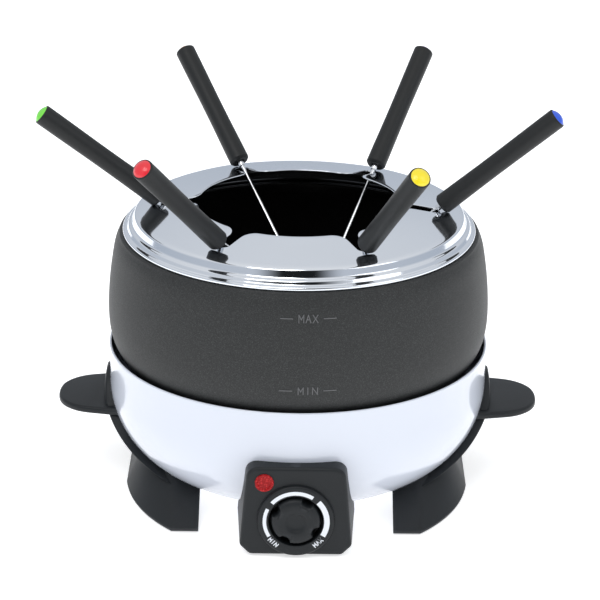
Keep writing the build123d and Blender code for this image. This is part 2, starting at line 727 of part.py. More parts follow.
def pot_shell():
    """Round-bellied pot with a stepped rim."""
    outer = pot_side()
    inner = Spline(
        (97.6, 0, POT_LEDGE_Z - 3.0),
        (101.2, 0, RING_Z - 26.6),
        (103.7, 0, RING_Z - 51),
        (102.5, 0, RING_Z - 67.4),
        (97.6, 0, RING_Z - 78.6),
        (86.8, 0, POT_FLOOR_Z + 6.8),
        (68.0, 0, POT_FLOOR_Z + POT_WALL),
        tangents=[(0.4, 0, -1), (-1, 0, 0)],
    )
    rim = ThreePointArc(
        (POT_RIM_R, 0, POT_RIM_Z - 1.0), (POT_RIM_R - 1.3, 0, POT_RIM_Z - 0.1), (96.6, 0, POT_RIM_Z)
    )
    step = Polyline(
        (96.6, 0, POT_RIM_Z),
        (95.9, 0, POT_RIM_Z - 0.6),
        (95.9, 0, POT_LEDGE_Z),
        (POT_LEDGE_R + 0.6, 0, POT_LEDGE_Z),
        (POT_LEDGE_R, 0, POT_LEDGE_Z - 0.6),
        (POT_LEDGE_R, 0, POT_LEDGE_Z - 1.6),
        (POT_LEDGE_R + 0.6, 0, POT_LEDGE_Z - 2.2),
        (97.6, 0, POT_LEDGE_Z - 3.0),
    )
    floor = Polyline(
        (68.0, 0, POT_FLOOR_Z), (0, 0, POT_FLOOR_Z), (0, 0, POT_FLOOR_Z + POT_WALL), (68.0, 0, POT_FLOOR_Z + POT_WALL)
    )
    return lathe(outer + inner + rim + step + floor)


def fill_mark(text, z):
    """Word between two dashes, standing a little proud of the pot's side at a height."""
    dashes = [Pos(x, 0) * Rectangle(6.5, 0.55) for x in (-11.6, 11.6)]
    plane = Plane(origin=(0, 0, z), x_dir=(1, 0, 0), z_dir=(0, -1, 0))
    bars = [extrude(plane * face, BOWL_R + 5, dir=(0, -1, 0)) for face in word(text, 2.6, 0.5) + dashes]
    whole = bars[0]
    for bar in bars[1:]:
        whole = whole + bar
    high = z + 3.0
    low = z - 3.0
    skin = turned(
        [
            (pot_radius_at(high) - 1.0, high),
            (pot_radius_at(high) + MARK_RISE, high),
            (pot_radius_at(low) + MARK_RISE, low),
            (pot_radius_at(low) - 1.0, low),
        ]
    )
    return Rot(0, 0, MARK_TURN) * (whole & skin)


def fill_marks():
    """Both fill marks, cut to lie on the pot's side."""
    shell = pot_shell()
    return group(fill_mark(text, z) - shell for text, z in (("MAX", RING_Z - 23.0), ("MIN", RING_Z - 62.5)))


# ---- fork ring --------------------------------------------------------------------------
def plate_z(radius):
    """Height of the ring's top surface at a radius."""
    return RING_Z + RING_SLOPE * (RING_FLAT_R - radius)


def fork_ring():
    """Conical plate with six notches, a stepped shoulder and a rolled rim."""
    rim_z = POT_RIM_Z + CLEAR
    profile = [
        (30, plate_z(30)),
        (RING_FLAT_R, RING_Z),
        (91.0, RING_Z - 0.8),
        (92.2, RING_Z - 4.8),
        (94.2, RING_Z - 5.6),
        (95.2, RING_Z - 7.6),
        (96.6, RING_Z - 8.0),
        (97.5, RING_Z - 8.8),
        (97.5, rim_z + 0.4),
        (97.1, rim_z),
        (95.3, rim_z),
        (95.3, POT_LEDGE_Z + 1.0),
        (94.5, POT_LEDGE_Z + 1.0),
        (94.2, RING_Z - 8.0),
        (93.5, RING_Z - 6.4),
        (91.3, RING_Z - 5.5),
        (90.2, RING_Z - 1.6),
        (RING_FLAT_R - 0.4, RING_Z - RING_T),
        (30, plate_z(30) - RING_T),
    ]
    plate = turned(profile)
    return plate - extrude(Pos(0, 0, RING_Z - 4) * ring_opening(), 30)


def ring_opening():
    """Plan of the hole: a circle with six radial notches and rounded lobe corners."""
    opening = Circle(RING_HOLE_R)
    for number in range(6):
        slot = Pos(NOTCH_END_R / 2, 0) * Rectangle(NOTCH_END_R, NOTCH_W)
        opening = opening + Rot(0, 0, 60 * number) * fillet(slot.vertices().group_by(Axis.X)[-1], NOTCH_W * 0.48)
    corners = [v for v in opening.vertices() if abs(sqrt(v.X**2 + v.Y**2) - RING_HOLE_R) < 0.5]
    opening = fillet(corners, LOBE_CORNER_R)
    return Rot(0, 0, RING_TURN) * opening


# ---- forks ------------------------------------------------------------------------------
def fork_axis(name):
    """Point where a fork crosses the ring's plate and the unit vector up its handle."""
    seat_r, seat_angle, direction, lean = FORKS[name]
    at = polar(seat_r, seat_angle, plate_z(seat_r) - RING_T / 2)
    up = polar(sin(radians(lean)), direction, cos(radians(lean)))
    return at, up


def fork_plane(name):
    """Plane at the ring's plate with Z up the handle and X in the fork's vertical plane."""
    at, up = fork_axis(name)
    direction = FORKS[name][2]
    across = polar(1.0, direction + 90)
    x_dir = Vector(*across).cross(Vector(*up))
    return Plane(origin=at, x_dir=tuple(x_dir), z_dir=up)


def fork_rod():
    """Steel rod with a collar, widened to a two-pronged head; the handle's axis is +Z."""
    top = HANDLE_START + 45.0
    head_z = -ROD_BELOW + HEAD_LEN
    shape = Pos(0, 0, (top + head_z) / 2) * Cylinder(ROD_R, top - head_z)
    collar = Pos(0, 0, (HANDLE_START + COLLAR_START) / 2) * Cylinder(COLLAR_R, HANDLE_START - COLLAR_START)
    half = HEAD_W / 2
    prong = 1.3
    outline = Polyline(
        (-ROD_R, 0, head_z + 3),
        (-half, 0, head_z - 4),
        (-half, 0, -ROD_BELOW + 3),
        (-half + 0.3, 0, -ROD_BELOW),
        (-half + prong, 0, -ROD_BELOW + 4),
        (-half + prong, 0, head_z - 6),
        (half - prong, 0, head_z - 6),
        (half - prong, 0, -ROD_BELOW + 7.0),
        (half - prong - 0.7, 0, -ROD_BELOW + 6.6),
        (half - 0.3, 0, -ROD_BELOW),
        (half, 0, -ROD_BELOW + 3),
        (half, 0, head_z - 4),
        (ROD_R, 0, head_z + 3),
        close=True,
    )
    head = extrude(make_face(outline), TINE_T / 2, dir=(0, 1, 0), both=True)
    return shape + collar + head


def fork_handle():
    """Round handle, waisted a little, with a socket for the rod and one for the cap."""
    low = HANDLE_START
    high = HANDLE_START + HANDLE_LEN
    side = Spline(
        (HANDLE_R, 0, low + 1.2),
        (HANDLE_R - 0.25, 0, low + HANDLE_LEN * 0.45),
        (HANDLE_R, 0, high - 1.4),
    )
    rest = Polyline(
        (HANDLE_R, 0, high - 1.4),
        (HANDLE_R - 0.7, 0, high),
        (CAP_R, 0, high),
        (CAP_R, 0, high - 1.0),
        (2.0, 0, high - 1.0),
        (2.0, 0, high - 8.0),
        (0, 0, high - 8.0),
        (0, 0, low + 45.0),
        (ROD_R, 0, low + 45.0),
        (ROD_R, 0, low + 1.0),
        (COLLAR_R + 0.6, 0, low + 1.0),
        (COLLAR_R + 0.6, 0, low),
        (HANDLE_R - 1.1, 0, low),
        (HANDLE_R, 0, low + 1.2),
    )
    return lathe(side + rest)


def fork_cap():
    """Domed colour cap with a plug that fills the handle's socket."""
    high = HANDLE_START + HANDLE_LEN
    ball_r = (CAP_R**2 + CAP_DOME**2) / (2 * CAP_DOME)
    half_r = CAP_R / 2
    half_z = high + CAP_DOME - ball_r + sqrt(ball_r**2 - half_r**2)
    dome = ThreePointArc((CAP_R, 0, high), (half_r, 0, half_z), (0, 0, high + CAP_DOME))
    rest = Polyline(
        (0, 0, high + CAP_DOME),
        (0, 0, high - 8.0),
        (2.0, 0, high - 8.0),
        (2.0, 0, high - 1.0),
        (CAP_R, 0, high - 1.0),
        (CAP_R, 0, high),
    )
    return lathe(dome + rest)


# ---- write every sub-part -----------------------------------------------------------------
left_bracket = side_bracket()
SINGLE_PARTS = {
    "base_bowl": base_bowl(),
    "bottom_cover": bottom_cover(),
    "cover_screws": cover_screws(),
    "side_bracket_left": left_bracket,
    "side_bracket_right": mirror(left_bracket, Plane.YZ),
    "bracket_screws": bracket_screws(),
    "foot_pads": foot_pads(),
    "control_housing": control_housing(),
    "housing_screws": housing_screws(),
    "dial_ring": dial_ring(),
    "dial_marks": dial_marks(),
    "pilot_lens": pilot_lens(),
    "pilot_lamp": pilot_lamp(),
    "knob": knob(),
    "thermostat_shaft": thermostat_shaft(),
    "thermostat_body": thermostat_body(),
    "thermostat_bulb": thermostat_bulb(),
    "heat_plate": heat_plate(),
    "heating_element": heating_element(),
    "plate_posts": plate_posts(),
    "heat_reflector": heat_reflector(),
    "thermal_cutout": thermal_cutout(),
    "terminal_block": terminal_block(),
    "cord_gland": cord_gland(),
    "wall_grommet": wall_grommet(),
    "lead_wires": lead_wires(),
    "pot": pot_shell(),
    "fill_marks": fill_marks(),
    "fork_ring": fork_ring(),
}
for part_name, part_shape in SINGLE_PARTS.items():
    save(part_name, part_shape)

for fork_name in FORKS:
    place = fork_plane(fork_name)
    save(f"fork_rod_{fork_name}", place * fork_rod())
    save(f"fork_handle_{fork_name}", place * fork_handle())
    save(f"fork_cap_{fork_name}", place * fork_cap())
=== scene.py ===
"""Looks of the electric fondue set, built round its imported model.

Lengths are in millimetres until a mesh is made, and Blender's are in metres. The origin is on
the table, on the bowl's axis, +Z is up and the dial faces -Y.
"""

import json
from math import atan2, cos, hypot, pi, radians, sin, sqrt, tan

import bmesh
import bpy
from mathutils import Matrix, Vector


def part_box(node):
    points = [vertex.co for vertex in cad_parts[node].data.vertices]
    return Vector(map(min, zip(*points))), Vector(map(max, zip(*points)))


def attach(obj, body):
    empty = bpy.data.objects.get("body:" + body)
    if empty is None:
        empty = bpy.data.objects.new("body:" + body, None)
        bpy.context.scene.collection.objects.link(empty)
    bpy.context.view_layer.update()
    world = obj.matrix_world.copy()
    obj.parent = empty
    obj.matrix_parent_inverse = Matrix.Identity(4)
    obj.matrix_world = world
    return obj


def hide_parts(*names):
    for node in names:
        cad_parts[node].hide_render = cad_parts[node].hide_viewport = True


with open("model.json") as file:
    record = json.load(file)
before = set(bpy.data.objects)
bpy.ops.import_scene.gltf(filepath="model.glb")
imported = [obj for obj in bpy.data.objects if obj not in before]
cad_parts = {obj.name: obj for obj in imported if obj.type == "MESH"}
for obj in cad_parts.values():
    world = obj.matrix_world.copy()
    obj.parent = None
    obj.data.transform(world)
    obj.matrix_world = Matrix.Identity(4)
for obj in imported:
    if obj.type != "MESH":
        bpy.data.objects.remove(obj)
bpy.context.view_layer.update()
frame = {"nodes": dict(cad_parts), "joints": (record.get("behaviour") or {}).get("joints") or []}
MM = 0.001


def corners(node):
    """Lowest and highest corner of a CAD node, in millimetres."""
    low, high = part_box(node)
    return low / MM, high / MM


# ---- driving dimensions ----
POT_LOW, POT_HIGH = corners("pot")
POT_FLOOR_Z = POT_LOW.z
POT_RIM_Z = POT_HIGH.z
RING_Z = POT_RIM_Z + 10.3       # the ring's outer flat
POT_RIM_R = 99.6
POT_LEDGE_R = 91.5
POT_LEDGE_Z = POT_RIM_Z - 4.0
POT_WALL = 2.3
POT_BELLY_R = 106.0
MARK_RISE = 0.3
MARK_TURN = 3.0                 # azimuth of the fill marks from the front, in degrees

BOWL_R = 106.0
BOWL_ARC = 50.0
BOWL_RIM_Z = RING_Z - 76.0
BOWL_ARC_Z = RING_Z - 98.0
BOWL_FLOOR_Z = BOWL_ARC_Z - BOWL_ARC
BOWL_WALL = 1.2
BOWL_HOLE_R = 40.0

RING_FLAT_R = 89.4
RING_SLOPE = 0.155
RING_T = 0.9
RING_HOLE_R = 56.0
RING_TURN = -2.6
NOTCH_END_R = 76.8
NOTCH_W = 7.0
LOBE_CORNER_R = 8.5

ROD_R = 1.05
COLLAR_R = 1.7
COLLAR_START = 2.0
HANDLE_START = 4.9
HANDLE_LEN = 81.0
HANDLE_R = 5.7
CAP_R = 4.9
CAP_DOME = 2.0
ROD_BELOW = 80.0
HEAD_LEN = 22.0
HEAD_W = 4.8
TINE_T = 1.3
FORK_SEATS = {                  # radius and azimuth at which each rod crosses the ring's plate
    "green": (73.6, 176.8),
    "red": (74.0, 237.1),
    "yellow": (73.2, 298.0),
    "blue": (74.6, -1.9),
    "purple": (74.6, 56.1),
    "orange": (73.9, 116.1),
}

BAND_T = 4.5
EAR_TOP_Z = RING_Z - 109.6
EAR_T = 4.0
EAR_TIP_X = 135.5
SKIRT_WALL = 3.6
SKIRT_SIDE_X = 96.5
SKIRT_FRONT_Y = 85.5
SKIRT_INNER_X = 53.0
FACET_X = 68.0
SKIRT_BOTTOM_Z = 1.0
SKIRT_TOP_Z = 18.0

FACE_Y = -112.0
HOUSE_BOTTOM_Z = 1.5
HOUSE_TOP_Z = 52.6
HOUSE_TOP_W = 52.0
HOUSE_BOTTOM_W = 60.0
HOUSE_CHAMFER = 5.4
HOUSE_CORNER_R = 6.5
HOUSE_BACK_Y = -70.0
HOUSE_WALL = 2.2
HOUSE_DRAFT = tan(radians(3.0))
DIAL_Z = 22.4
DIAL_R = 20.4
DIAL_RISE = 2.2
CUP_R = 14.5
CUP_WALL = 1.4
CUP_DEPTH = 7.5
KNOB_R = 13.7
KNOB_OUT = 2.0
LENS_X = -16.8
LENS_Z = 44.0
LENS_R = 5.0

CAMERA_AIM_Z = RING_Z
CAMERA_DISTANCE = 1300.0
CAMERA_ELEVATION = 19.35        # degrees above the aim point
CAMERA_PITCH = 21.53            # degrees that the view looks down
CAMERA_ROLL = 0.65              # degrees that the right of the view hangs low
CAMERA_X = 0.9                  # how far right of the axis the camera stands
CAMERA_LENS = 141.0             # on a sensor 36 mm wide


# ---- camera, floor and light ----
def link(obj):
    """Put an object in the scene."""
    bpy.context.scene.collection.objects.link(obj)
    return obj


def make_camera():
    """Long lens from the front, a little above the rim."""
    data = bpy.data.cameras.new("camera")
    data.lens = CAMERA_LENS
    data.sensor_width = 36.0
    data.clip_end = 100.0
    camera = link(bpy.data.objects.new("camera", data))
    rise = radians(CAMERA_ELEVATION)
    reach = CAMERA_DISTANCE * MM
    height = CAMERA_AIM_Z * MM + reach * sin(rise)
    at = Matrix.Translation((CAMERA_X * MM, -reach * cos(rise), height))
    tilt = Matrix.Rotation(radians(90.0 - CAMERA_PITCH), 4, "X")
    camera.matrix_world = at @ tilt @ Matrix.Rotation(radians(CAMERA_ROLL), 4, "Z")
    bpy.context.scene.camera = camera


def add(tree, kind, inputs=None, **settings):
    """Node of a tree with its settings, and its inputs as values or other nodes' outputs."""
    node = tree.nodes.new(kind)
    for key, value in settings.items():
        setattr(node, key, value)
    for key, value in (inputs or {}).items():
        if isinstance(value, bpy.types.NodeSocket):
            tree.links.new(value, node.inputs[key])
        else:
            node.inputs[key].default_value = value
    return node


def make_world():
    """Bright bluish-white studio with a dark zone in front of the object.

    The zone reaches from just under the horizon to half way up, and ends softly on each side.
    Each of its edges is a share from 0 outside to 1 within, and the shares are multiplied.
    """
    world = bpy.data.worlds.new("studio")
    bpy.context.scene.world = world
    world.use_nodes = True
    tree = world.node_tree
    background = tree.nodes["Background"]
    direction = add(tree, "ShaderNodeTexCoord").outputs["Generated"]
    axes = add(tree, "ShaderNodeSeparateXYZ", {0: direction}).outputs
    aside = add(tree, "ShaderNodeMath", {0: axes["X"]}, operation="ABSOLUTE").outputs[0]
    rise = add(tree, "ShaderNodeMapRange", {0: axes["Z"], 1: -0.1, 2: 0.9}).outputs[0]
    low_sky, high_sky, dark = (0.68, 0.76, 0.88, 1.0), (1.30, 1.32, 1.34, 1.0), (0.02, 0.022, 0.024, 1.0)
    sky = add(tree, "ShaderNodeMix", {0: rise, 6: low_sky, 7: high_sky}, data_type="RGBA").outputs[2]
    edges = (
        (aside, 0.52, 0.16),
        (axes["Z"], 0.82, 0.60),
        (axes["Z"], -0.08, 0.04),
        (axes["Y"], -0.2, -0.4),
    )
    shade = 1.0
    for along, outside, within in edges:
        ends = {0: along, 1: outside, 2: within}
        share = add(tree, "ShaderNodeMapRange", ends, interpolation_type="SMOOTHSTEP").outputs[0]
        shade = add(tree, "ShaderNodeMath", {0: share, 1: shade}, operation="MULTIPLY").outputs[0]
    mixed = add(tree, "ShaderNodeMix", {0: shade, 6: sky, 7: dark}, data_type="RGBA").outputs[2]
    tree.links.new(mixed, background.inputs["Color"])
    background.inputs["Strength"].default_value = 0.64


def make_light(name, place, aim, size, power):
    """Square soft light at a place, turned to an aim point; metres and watts."""
    data = bpy.data.lights.new(name, "AREA")
    data.shape = "SQUARE"
    data.size = size
    data.energy = power
    light = link(bpy.data.objects.new(name, data))
    light.location = place
    light.rotation_euler = (Vector(aim) - Vector(place)).to_track_quat("-Z", "Y").to_euler()


def make_floor():
    """Wide pale floor that stays white up to the horizon."""
    half = 7.0                          # metres
    mesh = bpy.data.meshes.new("floor")
    plan = [(-half, -half, 0), (half, -half, 0), (half, half, 0), (-half, half, 0)]
    mesh.from_pydata(plan, [], [(0, 1, 2, 3)])
    floor = link(bpy.data.objects.new("floor", mesh))
    paint = bpy.data.materials.new("floor")
    paint.use_nodes = True
    shader = paint.node_tree.nodes["Principled BSDF"]
    shader.inputs["Base Color"].default_value = (0.9, 0.9, 0.9, 1.0)
    shader.inputs["Roughness"].default_value = 0.9
    shader.inputs["Specular IOR Level"].default_value = 0.1
    shader.inputs["Emission Color"].default_value = (1.0, 1.0, 1.0, 1.0)
    shader.inputs["Emission Strength"].default_value = 0.62
    mesh.materials.append(paint)


# ---- materials ----
MATERIALS = {}


def surface(name, colour, roughness, spread, mottle, uneven, **constants):
    """Principled material whose colour and roughness vary a little over the surface.

    spread is the share by which the colour varies, uneven the amount by which roughness does,
    and mottle the scale of both, per metre. Constants go straight to the shader's sockets.
    """
    made = bpy.data.materials.new(name)
    made.use_nodes = True
    tree = made.node_tree
    shader = tree.nodes["Principled BSDF"]
    for key, value in constants.items():
        shader.inputs[key.replace("_", " ")].default_value = value
    place = add(tree, "ShaderNodeTexCoord").outputs["Object"]
    noise = add(tree, "ShaderNodeTexNoise", {"Vector": place, "Scale": mottle, "Detail": 4.0}).outputs["Fac"]
    dark = [c * (1.0 - spread) for c in colour] + [1.0]
    light = [min(c * (1.0 + spread), 1.0) for c in colour] + [1.0]
    tint = add(tree, "ShaderNodeMix", {0: noise, 6: dark, 7: light}, data_type="RGBA").outputs[2]
    tree.links.new(tint, shader.inputs["Base Color"])
    ends = {0: noise, 3: roughness - uneven, 4: roughness + uneven}
    dull = add(tree, "ShaderNodeMapRange", ends).outputs[0]
    tree.links.new(dull, shader.inputs["Roughness"])
    MATERIALS[name] = made
    return tree, shader, place, tint


def bump(tree, shader, height, depth, under=None):
    """Bump of a height output, as deep as depth in metres, on top of another bump."""
    inputs = {"Height": height, "Distance": depth, "Strength": 1.0}
    if under is not None:
        inputs["Normal"] = under
    normal = add(tree, "ShaderNodeBump", inputs).outputs["Normal"]
    tree.links.new(normal, shader.inputs["Normal"])
    return normal


def grain(tree, shader, place, scale, depth, under=None):
    """Fine moulded grain: noise bump at a scale per metre."""
    height = add(tree, "ShaderNodeTexNoise", {"Vector": place, "Scale": scale, "Detail": 3.0}).outputs["Fac"]
    return bump(tree, shader, height, depth, under)


def painted_edge_highlight(tree, shader, tint, colour):
    """Mix a lighter colour in along convex edges: a painted highlight where the rounded edges catch the
    light.
    """
    start, end = 0.53, 0.60
    edge = add(tree, "ShaderNodeNewGeometry").outputs["Pointiness"]
    amount = add(tree, "ShaderNodeMapRange", {0: edge, 1: start, 2: end, 4: 0.5}).outputs[0]
    ends = {0: amount, 6: tint, 7: list(colour) + [1.0]}
    mixed = add(tree, "ShaderNodeMix", ends, data_type="RGBA").outputs[2]
    tree.links.new(mixed, shader.inputs["Base Color"])


def enamel_white():
    """Glossy stove enamel with a faint orange peel."""
    tree, shader, place, _ = surface(
        "enamel_white", (0.70, 0.735, 0.82), 0.2, 0.015, 14.0, 0.05, Coat_Weight=0.7, Coat_Roughness=0.05
    )
    soft = grain(tree, shader, place, 130.0, 0.00006)
    grain(tree, shader, place, 900.0, 0.000008, soft)


def black_plastic():
    """Spark-eroded satin black plastic, with a painted highlight along its convex edges."""
    tree, shader, place, tint = surface(
        "black_plastic", (0.0105, 0.0125, 0.0145), 0.46, 0.10, 55.0, 0.05, Specular_IOR_Level=0.3
    )
    # painted highlight: convex edges get a lighter colour, standing in for light on the fillets
    painted_edge_highlight(tree, shader, tint, (0.05, 0.054, 0.06))
    cells = add(tree, "ShaderNodeTexVoronoi", {"Vector": place, "Scale": 2600.0}, feature="SMOOTH_F1")
    pits = bump(tree, shader, cells.outputs["Distance"], 0.00005)
    grain(tree, shader, place, 1500.0, 0.00005, pits)


def sparkle(name, colour, roughness, coat, flake_share, flake_scale):
    """Lacquer whose bright flakes lie at slightly different angles under a clear coat.

    coat is the weight of that coat, flake_share the share of cells that are bright and
    flake_scale the number of cells per metre.
    """
    tree, shader, place, tint = surface(
        name, colour, roughness, 0.08, 22.0, 0.05, Metallic=0.15, Specular_IOR_Level=0.25,
        Coat_Weight=coat, Coat_Roughness=0.18
    )
    flakes = add(tree, "ShaderNodeTexVoronoi", {"Vector": place, "Scale": flake_scale}, feature="F1")
    amount = add(tree, "ShaderNodeSeparateColor", {0: flakes.outputs["Color"]}).outputs["Red"]
    bright = add(tree, "ShaderNodeMapRange", {0: amount, 1: 1.0 - flake_share, 2: 1.0, 4: 0.85}).outputs[0]
    glint = [min(c * 2.4, 1.0) for c in colour] + [1.0]
    mixed = add(tree, "ShaderNodeMix", {0: bright, 6: tint, 7: glint}, data_type="RGBA").outputs[2]
    tree.links.new(mixed, shader.inputs["Base Color"])
    tilt = bump(tree, shader, amount, 0.00002)
    grain(tree, shader, place, 500.0, 0.00004, tilt)


def mirror_steel():
    """Polished steel with faint wiping marks round the axis."""
    tree, shader, place, _ = surface(
        "mirror_steel", (0.79, 0.82, 0.87), 0.07, 0.02, 30.0, 0.02, Metallic=1.0
    )
    axes = add(tree, "ShaderNodeSeparateXYZ", {0: place})
    flat = add(tree, "ShaderNodeCombineXYZ", {0: axes.outputs["X"], 1: axes.outputs["Y"]}).outputs[0]
    radius = add(tree, "ShaderNodeVectorMath", {0: flat}, operation="LENGTH").outputs["Value"]
    inputs = {"W": radius, "Scale": 1600.0, "Detail": 4.0}
    ripple = add(tree, "ShaderNodeTexNoise", inputs, noise_dimensions="1D").outputs["Fac"]
    bump(tree, shader, ripple, 0.0000012)


def drawn_metal(name, colour, roughness, scale=700.0, depth=0.00001):
    """Metal with a fine random finish."""
    tree, shader, place, _ = surface(name, colour, roughness, 0.08, 90.0, 0.06, Metallic=1.0)
    grain(tree, shader, place, scale, depth)


def moulded(name, colour, roughness, scale, depth, **constants):
    """Moulded plastic, rubber or ceramic with a grain."""
    tree, shader, place, tint = surface(name, colour, roughness, 0.07, 80.0, 0.05, **constants)
    grain(tree, shader, place, scale, depth)
    return tree, shader, place, tint


def lens_red():
    """Clear red plastic over a field of small lenslets, each with a painted highlight of brighter red at its
    middle.
    """
    tree, shader, place, tint = surface(
        "lens_red", (0.30, 0.004, 0.006), 0.2, 0.15, 700.0, 0.05, Specular_IOR_Level=0.2
    )
    cells = add(tree, "ShaderNodeTexVoronoi", {"Vector": place, "Scale": 1150.0}, feature="F1")
    away = cells.outputs["Distance"]
    # painted highlight: each lenslet is painted a brighter red towards its middle
    centre = add(tree, "ShaderNodeMapRange", {0: away, 1: 0.0, 2: 0.55, 3: 0.75, 4: 0.0}).outputs[0]
    ends = {0: centre, 6: tint, 7: (0.85, 0.05, 0.05, 1.0)}
    mixed = add(tree, "ShaderNodeMix", ends, data_type="RGBA").outputs[2]
    tree.links.new(mixed, shader.inputs["Base Color"])
    bump(tree, shader, away, 0.00012)


CAP_COLOURS = {
    "green": (0.19, 0.75, 0.06),
    "red": (0.80, 0.022, 0.035),
    "yellow": (0.95, 0.76, 0.02),
    "blue": (0.015, 0.095, 0.70),
    "purple": (0.27, 0.08, 0.50),
    "orange": (0.86, 0.36, 0.07),
}


def make_materials():
    """One material for each finish."""
    enamel_white()
    black_plastic()
    sparkle("pot_metallic", (0.030, 0.031, 0.031), 0.5, 0.0, 0.3, 4200.0)
    sparkle("pot_inside", (0.008, 0.008, 0.0075), 0.2, 0.6, 0.06, 2200.0)
    mirror_steel()
    drawn_metal("fork_steel", (0.74, 0.75, 0.77), 0.2)
    tree, shader, _, tint = moulded(
        "handle_plastic", (0.0115, 0.0125, 0.013), 0.48, 2200.0, 0.00004, Specular_IOR_Level=0.34
    )
    # painted highlight: the handle's convex edges get a lighter colour, standing in for light on its rounded
    # ends
    painted_edge_highlight(tree, shader, tint, (0.05, 0.05, 0.05))
    for name, colour in CAP_COLOURS.items():
        moulded(f"cap_{name}", colour, 0.3, 600.0, 0.00002, Coat_Weight=0.4, Coat_Roughness=0.1)
    lens_red()
    moulded("print_white", (0.80, 0.83, 0.88), 0.45, 3000.0, 0.000015)
    moulded("print_grey", (0.12, 0.122, 0.126), 0.5, 2600.0, 0.00002)
    drawn_metal("cast_aluminium", (0.60, 0.60, 0.61), 0.42, 420.0, 0.00008)
    drawn_metal("sheathed_steel", (0.20, 0.18, 0.165), 0.5, 500.0, 0.00002)
    drawn_metal("zinc_steel", (0.58, 0.58, 0.55), 0.34, 500.0, 0.00002)
    moulded("ceramic_white", (0.80, 0.77, 0.70), 0.6, 900.0, 0.00004)
    moulded("rubber_black", (0.022, 0.022, 0.022), 0.7, 1400.0, 0.00006)
    moulded("lead_sleeve", (0.72, 0.71, 0.66), 0.6, 2500.0, 0.00008)
    moulded("lamp_glass", (0.95, 0.55, 0.35), 0.08, 200.0, 0.00001, Transmission_Weight=0.85)


def dress_cad_nodes():
    """Give every CAD node the material of its slot."""
    for node in frame["nodes"].values():
        for place in node.material_slots:
            name = place.material.name.split(".")[0]
            place.material = MATERIALS[name]


# ---- mesh helpers ----
SHARP_ANGLE = 32.0              # degrees between faces from which their edge is drawn sharp


def arc(centre, radius, start, end, steps):
    """Points along an arc between two angles in degrees."""
    turns = [radians(start + (end - start) * k / steps) for k in range(steps + 1)]
    return [(centre[0] + radius * cos(t), centre[1] + radius * sin(t)) for t in turns]


def rounded(polygon, steps=5):
    """Closed outline of (x, y, radius) corners with an arc at each corner that has a radius."""
    outline = []
    for number, (x, y, radius) in enumerate(polygon):
        if radius == 0:
            outline.append((x, y))
            continue
        here = Vector((x, y))
        before = (Vector(polygon[number - 1][:2]) - here).normalized()
        after = (Vector(polygon[(number + 1) % len(polygon)][:2]) - here).normalized()
        half = before.angle(after) / 2
        centre = here + (before + after).normalized() * radius / sin(half)
        start = here + before * radius / tan(half) - centre
        turn = start.angle_signed(here + after * radius / tan(half) - centre)
        for step in range(steps + 1):
            swung = start.copy()
            swung.rotate(Matrix.Rotation(-turn * step / steps, 2))
            outline.append(tuple(centre + swung))
    return outline


def through(points, first, last, steps=8):
    """Smooth curve through points, leaving and arriving along two directions."""
    points = [Vector(p) for p in points]
    slopes = [Vector(first).normalized() * (points[1] - points[0]).length]
    for before, after in zip(points, points[2:]):
        slopes.append((after - before) / 2)
    slopes.append(Vector(last).normalized() * (points[-1] - points[-2]).length)
    curve = [tuple(points[0])]
    for index in range(len(points) - 1):
        a, b = points[index], points[index + 1]
        reach = (b - a).length
        out = slopes[index].normalized() * reach
        into = slopes[index + 1].normalized() * reach
        for step in range(1, steps + 1):
            t = step / steps
            near = a * (2 * t**3 - 3 * t**2 + 1) + out * (t**3 - 2 * t**2 + t)
            far = b * (3 * t**2 - 2 * t**3) + into * (t**3 - t**2)
            curve.append(tuple(near + far))
    return curve


def reach_at(curve, z):
    """First coordinate at a height of a curve that runs down; past an end, that end's."""
    for (r0, z0), (r1, z1) in zip(curve, curve[1:]):
        if z1 <= z <= z0:
            return r0 + (r1 - r0) * (z0 - z) / (z0 - z1)
    return curve[0][0] if z > curve[0][1] else curve[-1][0]


def make(name, verts, faces, finish, pick=None, sharp=SHARP_ANGLE, place=None):
    """Mesh object from millimetre vertices; pick(face centre) chooses among several finishes."""
    mesh = bpy.data.meshes.new(name)
    place = place or Matrix.Identity(4)
    mesh.from_pydata([(place @ Vector(v)) * MM for v in verts], [], faces)
    work = bmesh.new()
    work.from_mesh(mesh)
    bmesh.ops.remove_doubles(work, verts=work.verts, dist=1e-7)
    bmesh.ops.recalc_face_normals(work, faces=work.faces)
    work.to_mesh(mesh)
    work.free()
    finishes = [finish] if isinstance(finish, str) else finish
    for kind in finishes:
        mesh.materials.append(MATERIALS[kind])
    for face in mesh.polygons:
        face.use_smooth = True
        if pick:
            face.material_index = pick(face.center / MM)
    mesh.set_sharp_from_angle(angle=radians(sharp))
    return link(bpy.data.objects.new(name, mesh))


def grid(columns, wrap_u=True, wrap_v=True):
    """Vertices and quads of a grid given as columns of points."""
    tall = len(columns[0])
    wide = len(columns)
    verts = [p for column in columns for p in column]
    faces = []
    for i in range(wide if wrap_u else wide - 1):
        for j in range(tall if wrap_v else tall - 1):
            a, b = i * tall, ((i + 1) % wide) * tall
            k = (j + 1) % tall
            faces.append((a + j, b + j, b + k, a + k))
    return verts, faces


def tube(columns):
    """Vertices and faces of closed columns joined one to the next, with a face at both ends."""
    verts, faces = grid(columns, wrap_u=False)
    size = len(columns[0])
    faces.append(tuple(range(size)))
    faces.append(tuple(range(len(verts) - size, len(verts)))[::-1])
    return verts, faces


def skin(loops, closed=False):
    """Vertices and faces of loops joined one to the next.

    A closed skin joins the last loop to the first; otherwise both ends get a face.
    """
    size = len(loops[0])
    verts = [p for loop in loops for p in loop]
    faces = []
    for level in range(len(loops) if closed else len(loops) - 1):
        a, b = level * size, ((level + 1) % len(loops)) * size
        faces += [(a + i, a + (i + 1) % size, b + (i + 1) % size, b + i) for i in range(size)]
    if not closed:
        faces.append(tuple(range(size))[::-1])
        faces.append(tuple(range(len(verts) - size, len(verts))))
    return verts, faces


